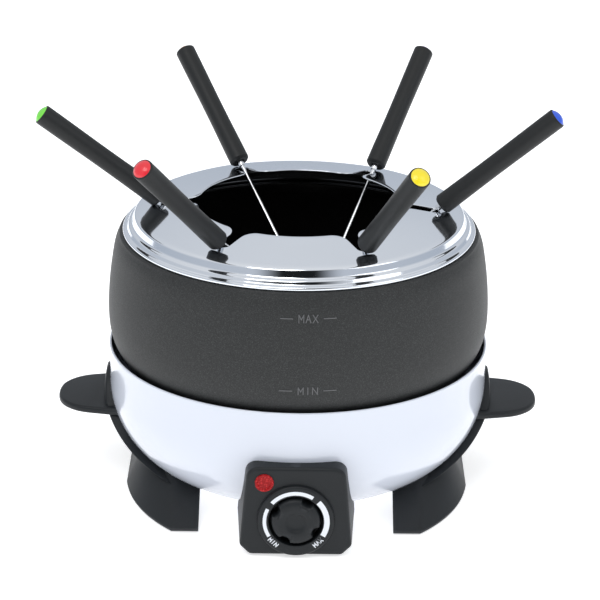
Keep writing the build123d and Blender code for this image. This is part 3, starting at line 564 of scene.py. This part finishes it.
def lathe(name, profile, finish, steps=128, closed=True, **options):
    """Turn a profile of (radius, height) about Z; closed joins its two ends."""
    columns = []
    for number in range(steps):
        turn = 2 * pi * number / steps
        columns.append([(r * cos(turn), r * sin(turn), z) for r, z in profile])
    verts, faces = grid(columns, wrap_v=closed)
    return make(name, verts, faces, finish, **options)


def inset(outline, distance):
    """Closed outline moved inwards by a distance, for one that runs anticlockwise."""
    moved = []
    for number, here in enumerate(outline):
        before = Vector(outline[number - 1])
        after = Vector(outline[(number + 1) % len(outline)])
        into = (Vector(here) - before).normalized()
        away = (after - Vector(here)).normalized()
        side = into + away
        side = Vector((-side.y, side.x)).normalized()
        lean = max(side.dot(Vector((-into.y, into.x))), 0.5)
        moved.append(tuple(Vector(here) + side * distance / lean))
    return moved


def slab(name, outline, levels, finish, **options):
    """Closed plan outline carried through (inset, height) levels, with a flat cap at both ends."""
    loops = [[(x, y, height) for x, y in inset(outline, distance)] for distance, height in levels]
    return make(name, *skin(loops), finish, **options)


def soft_edge(thickness, radius, steps=4):
    """Levels of a slab from height 0 to its thickness, with both edges rounded."""
    turns = [pi / 2 * k / steps for k in range(steps + 1)]
    low = [(radius - radius * sin(t), radius - radius * cos(t)) for t in turns]
    high = [(inset_by, thickness - height) for inset_by, height in reversed(low)]
    return low + high


def join(name, pieces):
    """Several mesh objects as one."""
    work = bmesh.new()
    kinds = []
    for piece in pieces:
        first = len(kinds)
        kinds += list(piece.data.materials)
        piece.data.transform(piece.matrix_world)
        before = len(work.faces)
        work.from_mesh(piece.data)
        work.faces.ensure_lookup_table()
        for face in work.faces[before:]:
            face.material_index += first
    mesh = bpy.data.meshes.new(name)
    work.to_mesh(mesh)
    work.free()
    finishes = list(dict.fromkeys(kinds))
    order = [finishes.index(kind) for kind in kinds]
    for kind in finishes:
        mesh.materials.append(kind)
    for face in mesh.polygons:
        face.material_index = order[face.material_index]
    for piece in pieces:
        bpy.data.objects.remove(piece)
    return link(bpy.data.objects.new(name, mesh))


def combine(piece, other, operation):
    """Exact boolean of two closed meshes; the other one is used up."""
    step = piece.modifiers.new("combine", "BOOLEAN")
    step.operation = operation
    step.solver = "EXACT"
    step.object = other
    bpy.context.view_layer.update()
    graph = bpy.context.evaluated_depsgraph_get()
    mesh = bpy.data.meshes.new_from_object(piece.evaluated_get(graph))
    name = piece.name
    bpy.data.objects.remove(other)
    bpy.data.objects.remove(piece)
    for face in mesh.polygons:
        face.use_smooth = True
    mesh.set_sharp_from_angle(angle=radians(SHARP_ANGLE))
    made = link(bpy.data.objects.new(name, mesh))
    made.data.name = name
    return made


def finish_piece(piece, body, slot, *nodes):
    """Put a piece on the body that it rides on and hide the CAD nodes that it stands for; slot is not used.
    """
    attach(piece, body)
    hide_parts(*nodes)


def facing_front(x, y, z):
    """Frame on the front with its own Z pointing back along +Y and its X to the right."""
    return Matrix(((1, 0, 0, x), (0, 0, 1, y), (0, -1, 0, z), (0, 0, 0, 1)))


# ---- pot ----
def pot_side(inward=0.0):
    """Outer curve of the pot's side from the rim down, or the same curve moved inwards."""
    points = [
        (POT_RIM_R, POT_RIM_Z - 1.0),
        (103.6, RING_Z - 26.0),
        (POT_BELLY_R, RING_Z - 51.0),
        (104.8, RING_Z - 68.0),
        (99.5, RING_Z - 80.0),
        (88.0, POT_FLOOR_Z + 4.6),
        (68.0, POT_FLOOR_Z),
    ]
    curve = through(points, (0.6, -1.0), (-1.0, 0.0), 10)
    if inward == 0:
        return curve
    moved = []
    for number, here in enumerate(curve):
        before = Vector(curve[max(number - 1, 0)])
        along = (Vector(curve[min(number + 1, len(curve) - 1)]) - before).normalized()
        moved.append((here[0] + along.y * inward, here[1] - along.x * inward))
    return moved


def make_pot():
    """Round-bellied pot: lacquered outside, glossy inside, with a ledge that centres the ring."""
    ledge = rounded(
        [
            (POT_RIM_R, POT_RIM_Z - 1.0, 0),
            (POT_RIM_R - 0.2, POT_RIM_Z, 1.0),
            (95.9, POT_RIM_Z, 0.5),
            (95.9, POT_LEDGE_Z, 0.5),
            (POT_LEDGE_R, POT_LEDGE_Z, 0.7),
            (POT_LEDGE_R, POT_LEDGE_Z - 2.2, 0.7),
            (97.6, POT_LEDGE_Z - 3.0, 1.0),
            (98.5, POT_LEDGE_Z - 8.0, 0),
        ]
    )
    outer = pot_side()
    inner = [p for p in pot_side(POT_WALL) if p[1] < POT_LEDGE_Z - 9.0]
    floor = [(0.0, POT_FLOOR_Z), (0.0, POT_FLOOR_Z + POT_WALL)]
    profile = outer + floor + inner[::-1] + ledge[::-1][:-1]
    middle = [Vector(p) for p in pot_side(POT_WALL / 2)]
    hub = Vector((60.0, 110.0))         # radius and height of a point in the pot's room

    def inside(centre):
        """1 for a face on the glossy inside, 0 for one on the lacquered outside."""
        spot = Vector((hypot(centre.x, centre.y), centre.z))
        if centre.z > POT_RIM_Z - 1.2:
            return int(spot.x < 96.6)
        if spot.x < middle[-1].x:
            return int(centre.z > POT_FLOOR_Z + POT_WALL / 2)
        near = min(middle, key=lambda p: (p - spot).length)
        if centre.z > RING_Z - 51.0:
            return int(spot.x < near.x)
        return int((spot - hub).length < (near - hub).length)

    piece = lathe("pot_lacquered", profile, ["pot_metallic", "pot_inside"], 256, pick=inside)
    finish_piece(piece, "pot_body", "pot_metallic", "pot")
    marks = join("fill_lettering", fill_mark("MAX", RING_Z - 23.0) + fill_mark("MIN", RING_Z - 62.5))
    finish_piece(marks, "pot_body", "print_grey", "fill_marks")


LETTERS = {
    "M": [(0, 0), (0, 1.5), (0.5, 0.6), (1, 1.5), (1, 0)],
    "I": [(0.5, 0), (0.5, 1.5)],
    "N": [(0, 0), (0, 1.5), (1, 0), (1, 1.5)],
    "A": [(0, 0), (0.5, 1.5), (1, 0), (0.78, 0.6), (0.22, 0.6)],
    "X": [(0, 0), (1, 1.5), (0.5, 0.75), (0, 1.5), (1, 0)],
}


def strokes(text, cell):
    """Straight strokes of a word centred on the origin, as pairs of points."""
    pitch = 1.45 * cell
    start = -pitch * len(text) / 2 + 0.22 * cell
    made = []
    for number, letter in enumerate(text):
        points = [(start + number * pitch + x * cell, (y - 0.75) * cell) for x, y in LETTERS[letter]]
        made += list(zip(points, points[1:]))
    return made


def bar(start, end, width, rise, wrap, finish):
    """Raised bar with soft edges between two flat points, laid on a surface by wrap(x, y, rise)."""
    start, end = Vector(start), Vector(end)
    along = (end - start).normalized()
    side = Vector((-along.y, along.x))
    half = width / 2
    right = [(half * 0.7, rise), (half, rise * 0.6), (half, -0.4)]
    section = [(-s, h) for s, h in reversed(right)] + right
    spots = [start - along * half * f for f in (1.0, 0.7)] + [end + along * half * f for f in (0.7, 1.0)]
    columns = []
    for number, spot in enumerate(spots):
        top = rise * (0.6 if number in (0, 3) else 1.0)
        columns.append([wrap(*(spot + side * s), min(h, top)) for s, h in section])
    return make("bar", *tube(columns), finish)


def fill_mark(text, height):
    """Word between two dashes, a little proud of the pot's side."""
    side = pot_side()

    def wrap(x, y, rise):
        z = height + y
        radius = reach_at(side, z) + rise
        turn = radians(MARK_TURN - 90.0) + x / POT_BELLY_R
        return (radius * cos(turn), radius * sin(turn), z)

    pairs = strokes(text, 2.6) + [((x - 3.2, 0), (x + 3.2, 0)) for x in (-11.6, 11.6)]
    return [bar(a, b, 0.5, MARK_RISE, wrap, "print_grey") for a, b in pairs]


# ---- base bowl ----
def bowl_profile(grow, rim_z):
    """Bowl's outer line grown by a distance, from the rim down to the floor's flat."""
    line = [(BOWL_R + grow, rim_z)]
    return line + arc((BOWL_R - BOWL_ARC, BOWL_ARC_Z), BOWL_ARC + grow, 0, -90, 40)


def bowl_radius_at(z, grow=0.0):
    """Outer radius of the bowl at a height."""
    drop = max(BOWL_ARC_Z - z, 0.0)
    return BOWL_R - BOWL_ARC + sqrt(max((BOWL_ARC + grow) ** 2 - drop**2, 0.0))


def make_base_bowl():
    """Enamelled shell with a rolled rim."""
    bead = arc((BOWL_R - BOWL_WALL / 2, BOWL_RIM_Z), BOWL_WALL * 0.6, 210, -30, 12)
    outer = bowl_profile(0.0, BOWL_RIM_Z - 0.5)
    inner = bowl_profile(-BOWL_WALL, BOWL_RIM_Z - 0.5)[::-1]
    profile = outer + [(BOWL_HOLE_R, BOWL_FLOOR_Z), (BOWL_HOLE_R, BOWL_FLOOR_Z + BOWL_WALL)] + inner + bead
    piece = lathe("bowl_enamelled", profile, "enamel_white", 256)
    finish_piece(piece, "base", "enamel_white", "base_bowl")


def bowl_cutter():
    """Closed solid of the room that the bowl takes, to trim what is fixed to it."""
    profile = bowl_profile(-0.15, BOWL_RIM_Z + 12.0) + [(0.0, BOWL_FLOOR_Z + 0.15), (0.0, BOWL_RIM_Z + 12.0)]
    return lathe("cutter", profile, "enamel_white", 256, closed=True)


# ---- side brackets ----
def tongue_half_width(z):
    """Half width of a bracket at a height: a rounded tongue that flares to the feet."""
    points = [(0.0, 63.5), (13.0, 59.0), (23.0, 47.0), (33.0, 34.0), (52.0, 21.0), (66.0, 16.5)]
    return reach_at(through(points, (1.0, 0.0), (1.0, -0.2), 8), z)


def make_band():
    """Curved band on the bowl with rounded edges, thinner towards its tip."""
    top_z, low_z = 63.45, 13.0
    edge = 1.7
    edge_t = 0.3
    taper = 15.0
    rows, across = 64, 40
    skin, back = [], []
    for i in range(rows + 1):
        share = i / rows
        z = top_z - (top_z - low_z) * share**1.25
        half = max(tongue_half_width(z), 0.05)
        front_row, back_row = [], []
        for k in range(across + 1):
            side = sin(pi / 2 * (2 * k / across - 1))
            y = half * side
            drop = top_z - z if abs(side) < 0.98 else 0.0
            gap = max(min(half * (1 - abs(side)) * 0.85, drop), 0.0)
            swell = sqrt(max(1 - (1 - min(gap / edge, 1.0)) ** 2, 0.0))
            full = BAND_T * (0.42 + 0.58 * min((top_z - z) / taper, 1.0))
            thick = edge_t + (full - edge_t) * swell
            for row, grow in ((front_row, thick), (back_row, -0.6)):
                radius = bowl_radius_at(z, grow)
                turn = y / bowl_radius_at(z, BAND_T)
                row.append((-radius * cos(turn), radius * sin(turn), z))
        skin.append(front_row)
        back.append(back_row)
    columns = [skin[i] + back[i][::-1] for i in range(rows + 1)]
    return make("band", *tube(columns), "black_plastic")


def make_ear():
    """Flat carrying tab with a rounded rim."""
    back = [(-94, 28), (-110, 25.5), (-124, 21.5), (-133, 12.5)]
    points = back + [(-EAR_TIP_X, 0)] + [(x, -y) for x, y in reversed(back)]
    curve = through(points, (-1, -0.1), (1, -0.1))
    place = Matrix.Translation((0, 0, EAR_TOP_Z - EAR_T))
    return slab("ear", curve, soft_edge(EAR_T, 1.5), "black_plastic", place=place)


def skirt_line(height, shrink):
    """Plan of a skirt's outer face at a height, front to back, moved inwards by a wall."""
    rise = (height - SKIRT_BOTTOM_Z) / (SKIRT_TOP_Z - SKIRT_BOTTOM_Z)
    side_x = SKIRT_SIDE_X - 8.0 * rise - shrink
    front_y = SKIRT_FRONT_Y - 29.0 * rise - shrink
    facet_x = FACET_X - shrink * 0.4
    straight = front_y * 0.30
    bulge = (side_x - (side_x - facet_x) * 0.30, front_y * 0.66)
    front = [(-SKIRT_INNER_X - (facet_x - SKIRT_INNER_X) * k / 6, -front_y) for k in range(6)]
    corner = circle_through((-facet_x, -front_y), (-bulge[0], -bulge[1]), (-side_x, -straight), 18)
    side = [(-side_x, -straight + 2 * straight * k / 8) for k in range(1, 8)]
    half = front + corner
    return half + side + [(x, -y) for x, y in reversed(half)]


def circle_through(a, b, c, steps):
    """Points of the arc from a through b to c, about the middle (ux, uy) of their circle."""
    (ax, ay), (bx, by), (cx, cy) = a, b, c
    twice = 2 * (ax * (by - cy) + bx * (cy - ay) + cx * (ay - by))
    ux = ((ax**2 + ay**2) * (by - cy) + (bx**2 + by**2) * (cy - ay) + (cx**2 + cy**2) * (ay - by)) / twice
    uy = ((ax**2 + ay**2) * (cx - bx) + (bx**2 + by**2) * (ax - cx) + (cx**2 + cy**2) * (bx - ax)) / twice
    radius = hypot(ax - ux, ay - uy)
    start = atan2(ay - uy, ax - ux)
    turn = atan2(cy - uy, cx - ux) - start
    turn = (turn + pi) % (2 * pi) - pi
    turns = [start + turn * k / steps for k in range(steps + 1)]
    return [(ux + radius * cos(t), uy + radius * sin(t)) for t in turns]


def make_skirt():
    """Flared foot of one side, a wall bent round its plan."""
    rows = 14
    tall = SKIRT_TOP_Z + 3.0 - SKIRT_BOTTOM_Z
    heights = [SKIRT_BOTTOM_Z + tall * k / rows for k in range(rows + 1)]
    outer = [[(x, y, z) for x, y in skirt_line(z, 0.0)] for z in heights]
    inner = [[(x, y, z) for x, y in skirt_line(z, SKIRT_WALL)] for z in heights]
    above_foot = SKIRT_BOTTOM_Z + 0.9
    outer[0] = [(x, y, SKIRT_BOTTOM_Z) for x, y in skirt_line(SKIRT_BOTTOM_Z, 0.8)]
    outer.insert(1, [(x, y, above_foot) for x, y in skirt_line(above_foot, 0.0)])
    loop = outer + inner[::-1]
    columns = [[row[k] for row in loop] for k in range(len(outer[0]))]
    return make("skirt", *tube(columns), "black_plastic")


def make_bracket(side):
    """Bracket of one side: band, ear and skirt as one moulding."""
    piece = combine(make_band(), make_ear(), "UNION")
    piece = combine(piece, make_skirt(), "UNION")
    piece = combine(piece, bowl_cutter(), "DIFFERENCE")
    piece.name = f"bracket_{side}"
    if side == "right":
        piece.data.transform(Matrix.Scale(-1, 4, (1, 0, 0)))
        piece.data.flip_normals()
    finish_piece(piece, "base", "black_plastic", f"side_bracket_{side}")


# ---- control housing ----
def make_housing():
    """Moulded box under the bowl with a round opening for the dial, trimmed by the bowl."""
    top, low = HOUSE_TOP_W / 2, HOUSE_BOTTOM_W / 2
    cut, cut_r = HOUSE_CHAMFER, 3.2
    outline = rounded(
        [
            (low, -HOUSE_BOTTOM_Z - cut, cut_r),
            (low - cut, -HOUSE_BOTTOM_Z, cut_r),
            (-low + cut, -HOUSE_BOTTOM_Z, cut_r),
            (-low, -HOUSE_BOTTOM_Z - cut, cut_r),
            (-top, -HOUSE_TOP_Z, HOUSE_CORNER_R),
            (top, -HOUSE_TOP_Z, HOUSE_CORNER_R),
        ],
        8,
    )
    outline = anticlockwise(spread(outline, 2.0))
    depth = HOUSE_BACK_Y - FACE_Y
    edge = 1.8
    turns = [pi / 2 * k / 5 for k in range(6)]
    levels = [(-HOUSE_DRAFT * depth, depth)]
    levels += [(-HOUSE_DRAFT * depth * k / 4, depth * k / 4 + edge) for k in (3, 2, 1)]
    levels += [(edge - edge * sin(t), edge - edge * cos(t)) for t in reversed(turns)]
    loops = [[(x, y, h) for x, y in inset(outline, d)] for d, h in levels]
    hole = CUP_R + CUP_WALL + 1.5

    face = loops[-1]

    def hole_edge(height):
        """The opening's edge, with a point for each point of the face's outline."""
        turns = [atan2(y + DIAL_Z, x) for x, y, _ in face]
        return [(hole * cos(t), -DIAL_Z + hole * sin(t), height) for t in turns]

    for share in (0.05, 0.5, 0.95):
        pairs = zip(face, hole_edge(0.0))
        loops.append([tuple(Vector(p).lerp(Vector(q), share)) for p, q in pairs])
    loops.append(hole_edge(0.0))
    loops.append(hole_edge(HOUSE_WALL))
    loops.append([(x, y, HOUSE_WALL) for x, y in inset(outline, HOUSE_WALL)])
    loops.append([(x, y, depth) for x, y in inset(outline, HOUSE_WALL - HOUSE_DRAFT * depth)])
    place = facing_front(0, FACE_Y, 0)
    box = make("housing_moulded", *skin(loops, closed=True), "black_plastic", place=place)
    piece = combine(box, bowl_cutter(), "DIFFERENCE")
    finish_piece(piece, "base", "black_plastic", "control_housing")


def anticlockwise(outline):
    """The same closed outline, run anticlockwise."""
    sides = zip(outline, outline[1:] + outline[:1])
    area = sum(x0 * y1 - x1 * y0 for (x0, y0), (x1, y1) in sides) / 2
    return outline[::-1] if area < 0 else outline


def spread(outline, pitch):
    """Closed outline with points added so that none are further apart than a pitch."""
    made = []
    for (x0, y0), (x1, y1) in zip(outline, outline[1:] + outline[:1]):
        parts = max(1, round(hypot(x1 - x0, y1 - y0) / pitch))
        made += [(x0 + (x1 - x0) * k / parts, y0 + (y1 - y0) * k / parts) for k in range(parts)]
    return made


def make_dial():
    """Raised ring with the cup that the knob turns in."""
    ring = rounded(
        [
            (CUP_R, 0, 0.4),
            (DIAL_R, 0, 1.3),
            (DIAL_R, DIAL_RISE, 0.0),
            (CUP_R + CUP_WALL, DIAL_RISE, 0.0),
            (CUP_R + CUP_WALL, CUP_DEPTH + 1.5, 0.3),
            (3.8, CUP_DEPTH + 1.5, 0.0),
            (3.8, CUP_DEPTH, 0.0),
            (CUP_R, CUP_DEPTH, 0.6),
        ]
    )
    place = facing_front(0, FACE_Y - DIAL_RISE, DIAL_Z)
    piece = lathe("dial_surround", ring, "black_plastic", 160, place=place)
    finish_piece(piece, "base", "black_plastic", "dial_ring")


DIAL_ARCS = ((154, 212, 16.6, 1.9), (57, 140, 16.5, 2.1), (-30, 44, 16.5, 2.9))


def dial_arc(start, end, radius, width, front):
    """Printed arc between two angles in degrees, anticlockwise from the right of the dial."""
    outer = arc((0, 0), radius + width / 2, -end, -start, 40)
    inner = arc((0, 0), radius - width / 2, -start, -end, 40)
    levels = [(0.0, 0.14), (0.0, 0.04), (0.06, 0.0)]
    return slab("arc", outer + inner, levels, "print_white", place=front)


def dial_word(text, angle, front):
    """Strokes of a word printed on the dial at an angle, with its foot towards the middle."""
    radius, rise_in_all = 17.0, 0.13
    turn = Matrix.Rotation(radians(-angle - 90), 4, "Z")
    centre = Vector((radius * cos(radians(angle)), -radius * sin(radians(angle)), 0))

    def wrap(x, y, rise):
        flat = centre + turn @ Vector((x, -y, 0))
        return tuple(front @ Vector((flat.x, flat.y, rise_in_all - rise)))

    return [bar(a, b, 0.5, rise_in_all, wrap, "print_white") for a, b in strokes(text, 1.45)]


def make_dial_print():
    """Three arcs of growing width and the words at both ends of the knob's travel."""
    front = facing_front(0, FACE_Y - DIAL_RISE - 0.12, DIAL_Z)
    marks = []
    for start, end, radius, width in DIAL_ARCS:
        marks.append(dial_arc(start, end, radius, width, front))
    for text, angle in (("MIN", 226), ("MAX", 314)):
        marks += dial_word(text, angle, front)
    finish_piece(join("dial_print", marks), "base", "print_white", "dial_marks")


def knob_radius(turn):
    """Radius of the knob's outline in a direction, in radians, with four round finger scallops."""
    reach, scallop_r = KNOB_R + 1.6, 4.2
    radius = KNOB_R
    for scoop in (61, 151, 241, 331):
        away = (turn + radians(scoop) + pi) % (2 * pi) - pi
        under = scallop_r**2 - (reach * sin(away)) ** 2
        if abs(away) < radians(20) and under > 0:
            radius = min(radius, reach * cos(away) - sqrt(under))
    return radius


def make_knob():
    """Round knob with four finger scallops and a shallow dish that deepens at its middle."""
    front = FACE_Y - DIAL_RISE - KNOB_OUT
    length = KNOB_OUT + CUP_DEPTH - 0.8
    size = 240
    turns = [2 * pi * number / size for number in range(size)]
    outline = [(knob_radius(t) * cos(t), knob_radius(t) * sin(t)) for t in turns]
    rim = [(0.0, length), (0.5, 4.0), (0.75, 2.4), (1.2, 1.5), (2.0, 0.9), (3.2, 0.5)]
    dish = [(9.4, 0.3), (8.0, 0.2), (6.6, 0.25), (5.7, 0.45)]
    boss = [(5.2, 0.9), (4.6, 1.35), (3.4, 1.5), (1.6, 1.55)]
    loops = []
    for drawn_in, height in rim:
        radius = KNOB_R - drawn_in
        loops.append([(x * radius / KNOB_R, y * radius / KNOB_R, height) for x, y in outline])
    for radius, height in dish + boss:
        loops.append([(radius * cos(t), radius * sin(t), height) for t in turns])
    place = facing_front(0, front, DIAL_Z)
    piece = make("knob_moulded", *skin(loops), "black_plastic", place=place)
    finish_piece(piece, "knob_body", "black_plastic", "knob")


def make_lens():
    """Red lens with a raised rim round a dished, faceted window."""
    profile = rounded(
        [
            (LENS_R, 0.0, 0.0),
            (LENS_R, -0.9, 0.45),
            (LENS_R - 1.3, -0.9, 0.3),
            (LENS_R - 1.7, -0.25, 0.1),
            (0.0, -0.25, 0.0),
            (0.0, 1.0, 0.0),
            (LENS_R - 1.2, 1.0, 0.0),
            (LENS_R - 1.2, 0.0, 0.0),
        ],
        4,
    )
    piece = lathe("lens_moulded", profile, "lens_red", 96, place=facing_front(LENS_X, FACE_Y, LENS_Z))
    finish_piece(piece, "base", "lens_red", "pilot_lens")


# ---- fork ring ----
def plate_z(radius):
    """Height of the ring's top surface at a radius."""
    return RING_Z + RING_SLOPE * (RING_FLAT_R - radius)


def ring_opening():
    """Outline of the hole, anticlockwise: six notches between lobes with rounded corners."""
    half = NOTCH_W / 2
    end_r = NOTCH_W * 0.48
    reach_y = half + LOBE_CORNER_R
    reach_x = sqrt((RING_HOLE_R + LOBE_CORNER_R) ** 2 - reach_y**2)
    turn = atan2(reach_y, reach_x) * 180 / pi
    run = arc((NOTCH_END_R - end_r, half - end_r), end_r, 0, 90, 10)
    steps = 14
    gap = run[-1][0] - reach_x
    run += [(run[-1][0] - gap * k / steps, half) for k in range(1, steps)]
    run += arc((reach_x, reach_y), LOBE_CORNER_R, 270, 180 + turn, 16)
    run += arc((0, 0), RING_HOLE_R, turn, 30, 20)[1:]
    sector = [(x, -y) for x, y in reversed(run[:-1])] + run
    outline = []
    for number in range(6):
        angle = radians(60 * number + RING_TURN)
        outline += [(x * cos(angle) - y * sin(angle), x * sin(angle) + y * cos(angle)) for x, y in sector]
    return outline


def shoulder():
    """Section outside the plate, from its edge over the step and the rolled rim and back inside."""
    rim_z = POT_RIM_Z + 0.3
    return rounded(
        [
            (RING_FLAT_R, RING_Z, 0.0),
            (RING_FLAT_R + 1.6, RING_Z - 0.6, 1.7),
            (92.3, RING_Z - 5.0, 1.7),
            (94.2, RING_Z - 5.6, 1.5),
            (95.3, RING_Z - 7.7, 1.1),
            (97.6, RING_Z - 8.1, 1.2),
            (97.6, rim_z, 0.5),
            (95.3, rim_z, 0.0),
            (95.3, POT_LEDGE_Z + 1.0, 0.3),
            (94.5, POT_LEDGE_Z + 1.0, 0.3),
            (94.1, RING_Z - 8.2, 0.4),
            (93.4, RING_Z - 6.5, 0.6),
            (91.2, RING_Z - 5.8, 0.6),
            (90.1, RING_Z - 1.6, 0.6),
            (RING_FLAT_R - 0.3, RING_Z - RING_T, 0.0),
        ],
        9,
    )


def make_ring():
    """Conical mirror plate with a rounded cut edge, notches and a stepped shoulder."""
    outline = ring_opening()
    count = len(outline)
    section = shoulder()
    half = RING_T / 2
    edge_turns = [-90 + 180 * k / 6 for k in range(7)]
    plate_steps = 14
    columns = []
    for number, (x, y) in enumerate(outline):
        before = Vector(outline[number - 1])
        along = (Vector(outline[(number + 1) % count]) - before).normalized()
        outward = Vector((along.y, -along.x))
        rim_turn = radians(RING_TURN - 30) + 2 * pi * (number + 0.5) / count
        column = []
        for turn in edge_turns:
            spot = Vector((x, y)) + outward * half * (1 - cos(radians(turn)))
            column.append((spot.x, spot.y, plate_z(spot.length) - half + half * sin(radians(turn))))
        inner = Vector((x, y)) + outward * half
        start = atan2(inner.y, inner.x)
        swing = (rim_turn - start + pi) % (2 * pi) - pi
        rows = []
        for step in range(1, plate_steps):
            share = step / plate_steps
            rows.append((inner.length + (RING_FLAT_R - inner.length) * share, start + swing * share))
        column += [(r * cos(a), r * sin(a), plate_z(r)) for r, a in rows]
        column += [(r * cos(rim_turn), r * sin(rim_turn), z) for r, z in section]
        column += [(r * cos(a), r * sin(a), plate_z(r) - RING_T) for r, a in reversed(rows)]
        columns.append(column)
    verts, faces = grid(columns)
    piece = make("ring_polished", verts, faces, "mirror_steel", sharp=55.0)
    finish_piece(piece, "ring_body", "mirror_steel", "fork_ring")


# ---- forks ----
def fork_frame(name):
    """Frame at the ring's plate with its Z up the handle, from the fork's own joint."""
    joint = next(j for j in frame["joints"] if j["name"] == f"fork_{name}_draw")
    up = Vector(joint["axis"]).normalized()
    radius, azimuth = FORK_SEATS[name]
    angle = radians(azimuth)
    at = Vector((radius * cos(angle), radius * sin(angle), plate_z(radius) - RING_T / 2))
    across = Vector((-up.y, up.x, 0)).normalized()
    ahead = across.cross(up)
    return Matrix.Translation(at) @ Matrix((ahead, across, up)).transposed().to_4x4()


def make_rod(name, place):
    """Steel rod of a fork, with its collar and a flat head of two prongs, one of them barbed."""
    head_z = -ROD_BELOW + HEAD_LEN
    shaft = rounded(
        [
            (0.0, head_z - 2.0, 0),
            (ROD_R, head_z - 2.0, 0.3),
            (ROD_R, COLLAR_START, 0),
            (COLLAR_R, COLLAR_START, 0.25),
            (COLLAR_R, HANDLE_START + 2.0, 0),
            (0.0, HANDLE_START + 2.0, 0),
        ],
        3,
    )
    rod = lathe("shaft", shaft, "fork_steel", 32, place=place)
    half, prong = HEAD_W / 2, 1.3
    head = rounded(
        [
            (-ROD_R, head_z + 3, 2.0),
            (-half, head_z - 4, 2.0),
            (-half, -ROD_BELOW + 3, 0.5),
            (-half + 0.3, -ROD_BELOW, 0.1),
            (-half + prong, -ROD_BELOW + 4, 0.5),
            (-half + prong, head_z - 6, 0.5),
            (half - prong, head_z - 6, 0.5),
            (half - prong, -ROD_BELOW + 7.0, 0.3),
            (half - prong - 0.7, -ROD_BELOW + 6.6, 0.1),
            (half - 0.3, -ROD_BELOW, 0.1),
            (half, -ROD_BELOW + 3, 0.5),
            (half, head_z - 4, 2.0),
            (ROD_R, head_z + 3, 2.0),
        ],
        3,
    )
    upright = place @ Matrix.Translation((0, TINE_T / 2, 0)) @ Matrix.Rotation(radians(90), 4, "X")
    tines = slab("tines", anticlockwise(head), soft_edge(TINE_T, 0.25, 2), "fork_steel", place=upright)
    piece = join(f"rod_{name}", [rod, tines])
    finish_piece(piece, f"fork_{name}", "fork_steel", f"fork_rod_{name}")


def make_grip(name, place):
    """Moulded handle of a fork, slightly waisted, with a seat for the cap."""
    low, high = HANDLE_START, HANDLE_START + HANDLE_LEN
    waist = (HANDLE_R - 0.25, low + HANDLE_LEN * 0.45)
    side = through([(HANDLE_R, low + 2.0), waist, (HANDLE_R, high - 2.0)], (0, 1), (0, 1), 10)
    lower = rounded(
        [
            (COLLAR_R - 0.3, low + 3.0, 0),
            (COLLAR_R + 0.6, low + 3.0, 0),
            (COLLAR_R + 0.6, low, 0.3),
            (HANDLE_R - 1.1, low, 0.3),
            (HANDLE_R, low + 1.3, 0.5),
            (HANDLE_R, low + 2.5, 0),
        ],
        3,
    )
    upper = rounded(
        [
            (HANDLE_R, high - 2.5, 0),
            (HANDLE_R, high, 0.8),
            (CAP_R, high, 0.15),
            (CAP_R, high - 1.0, 0),
            (COLLAR_R - 0.3, high - 1.0, 0),
        ],
        4,
    )
    profile = lower[:-1] + side + upper[1:]
    piece = lathe(f"grip_{name}", profile, "handle_plastic", 96, place=place)
    finish_piece(piece, f"fork_{name}", "handle_plastic", f"fork_handle_{name}")


def make_cap(name, place):
    """Domed cap in the fork's colour, at the end of its handle."""
    high = HANDLE_START + HANDLE_LEN
    ball_r = (CAP_R**2 + CAP_DOME**2) / (2 * CAP_DOME)
    span = 90 - atan2(ball_r - CAP_DOME, CAP_R) * 180 / pi
    dome = arc((0, high + CAP_DOME - ball_r), ball_r, 90 - span, 90, 14)
    plug_r = CAP_R - 0.05
    profile = [(0.0, high - 0.9), (plug_r, high - 0.9), (plug_r, high - 0.1)] + dome
    piece = lathe(f"button_{name}", profile, f"cap_{name}", 64, closed=False, place=place)
    finish_piece(piece, f"fork_{name}", f"cap_{name}", f"fork_cap_{name}")


# ---- everything ----
make_camera()
make_floor()
make_world()
make_light("key", (-0.5, -1.3, 1.9), (0.0, 0.0, 0.1), 1.1, 14.0)
make_light("fill", (1.3, -0.9, 1.2), (0.0, 0.0, 0.08), 1.0, 3.5)
make_materials()
dress_cad_nodes()
make_pot()
make_base_bowl()
make_bracket("left")
make_bracket("right")
make_housing()
make_dial()
make_dial_print()
make_knob()
make_lens()
make_ring()
for fork in FORK_SEATS:
    seat = fork_frame(fork)
    make_rod(fork, seat)
    make_grip(fork, seat)
    make_cap(fork, seat)
bpy.context.scene.view_settings.view_transform = "Standard"
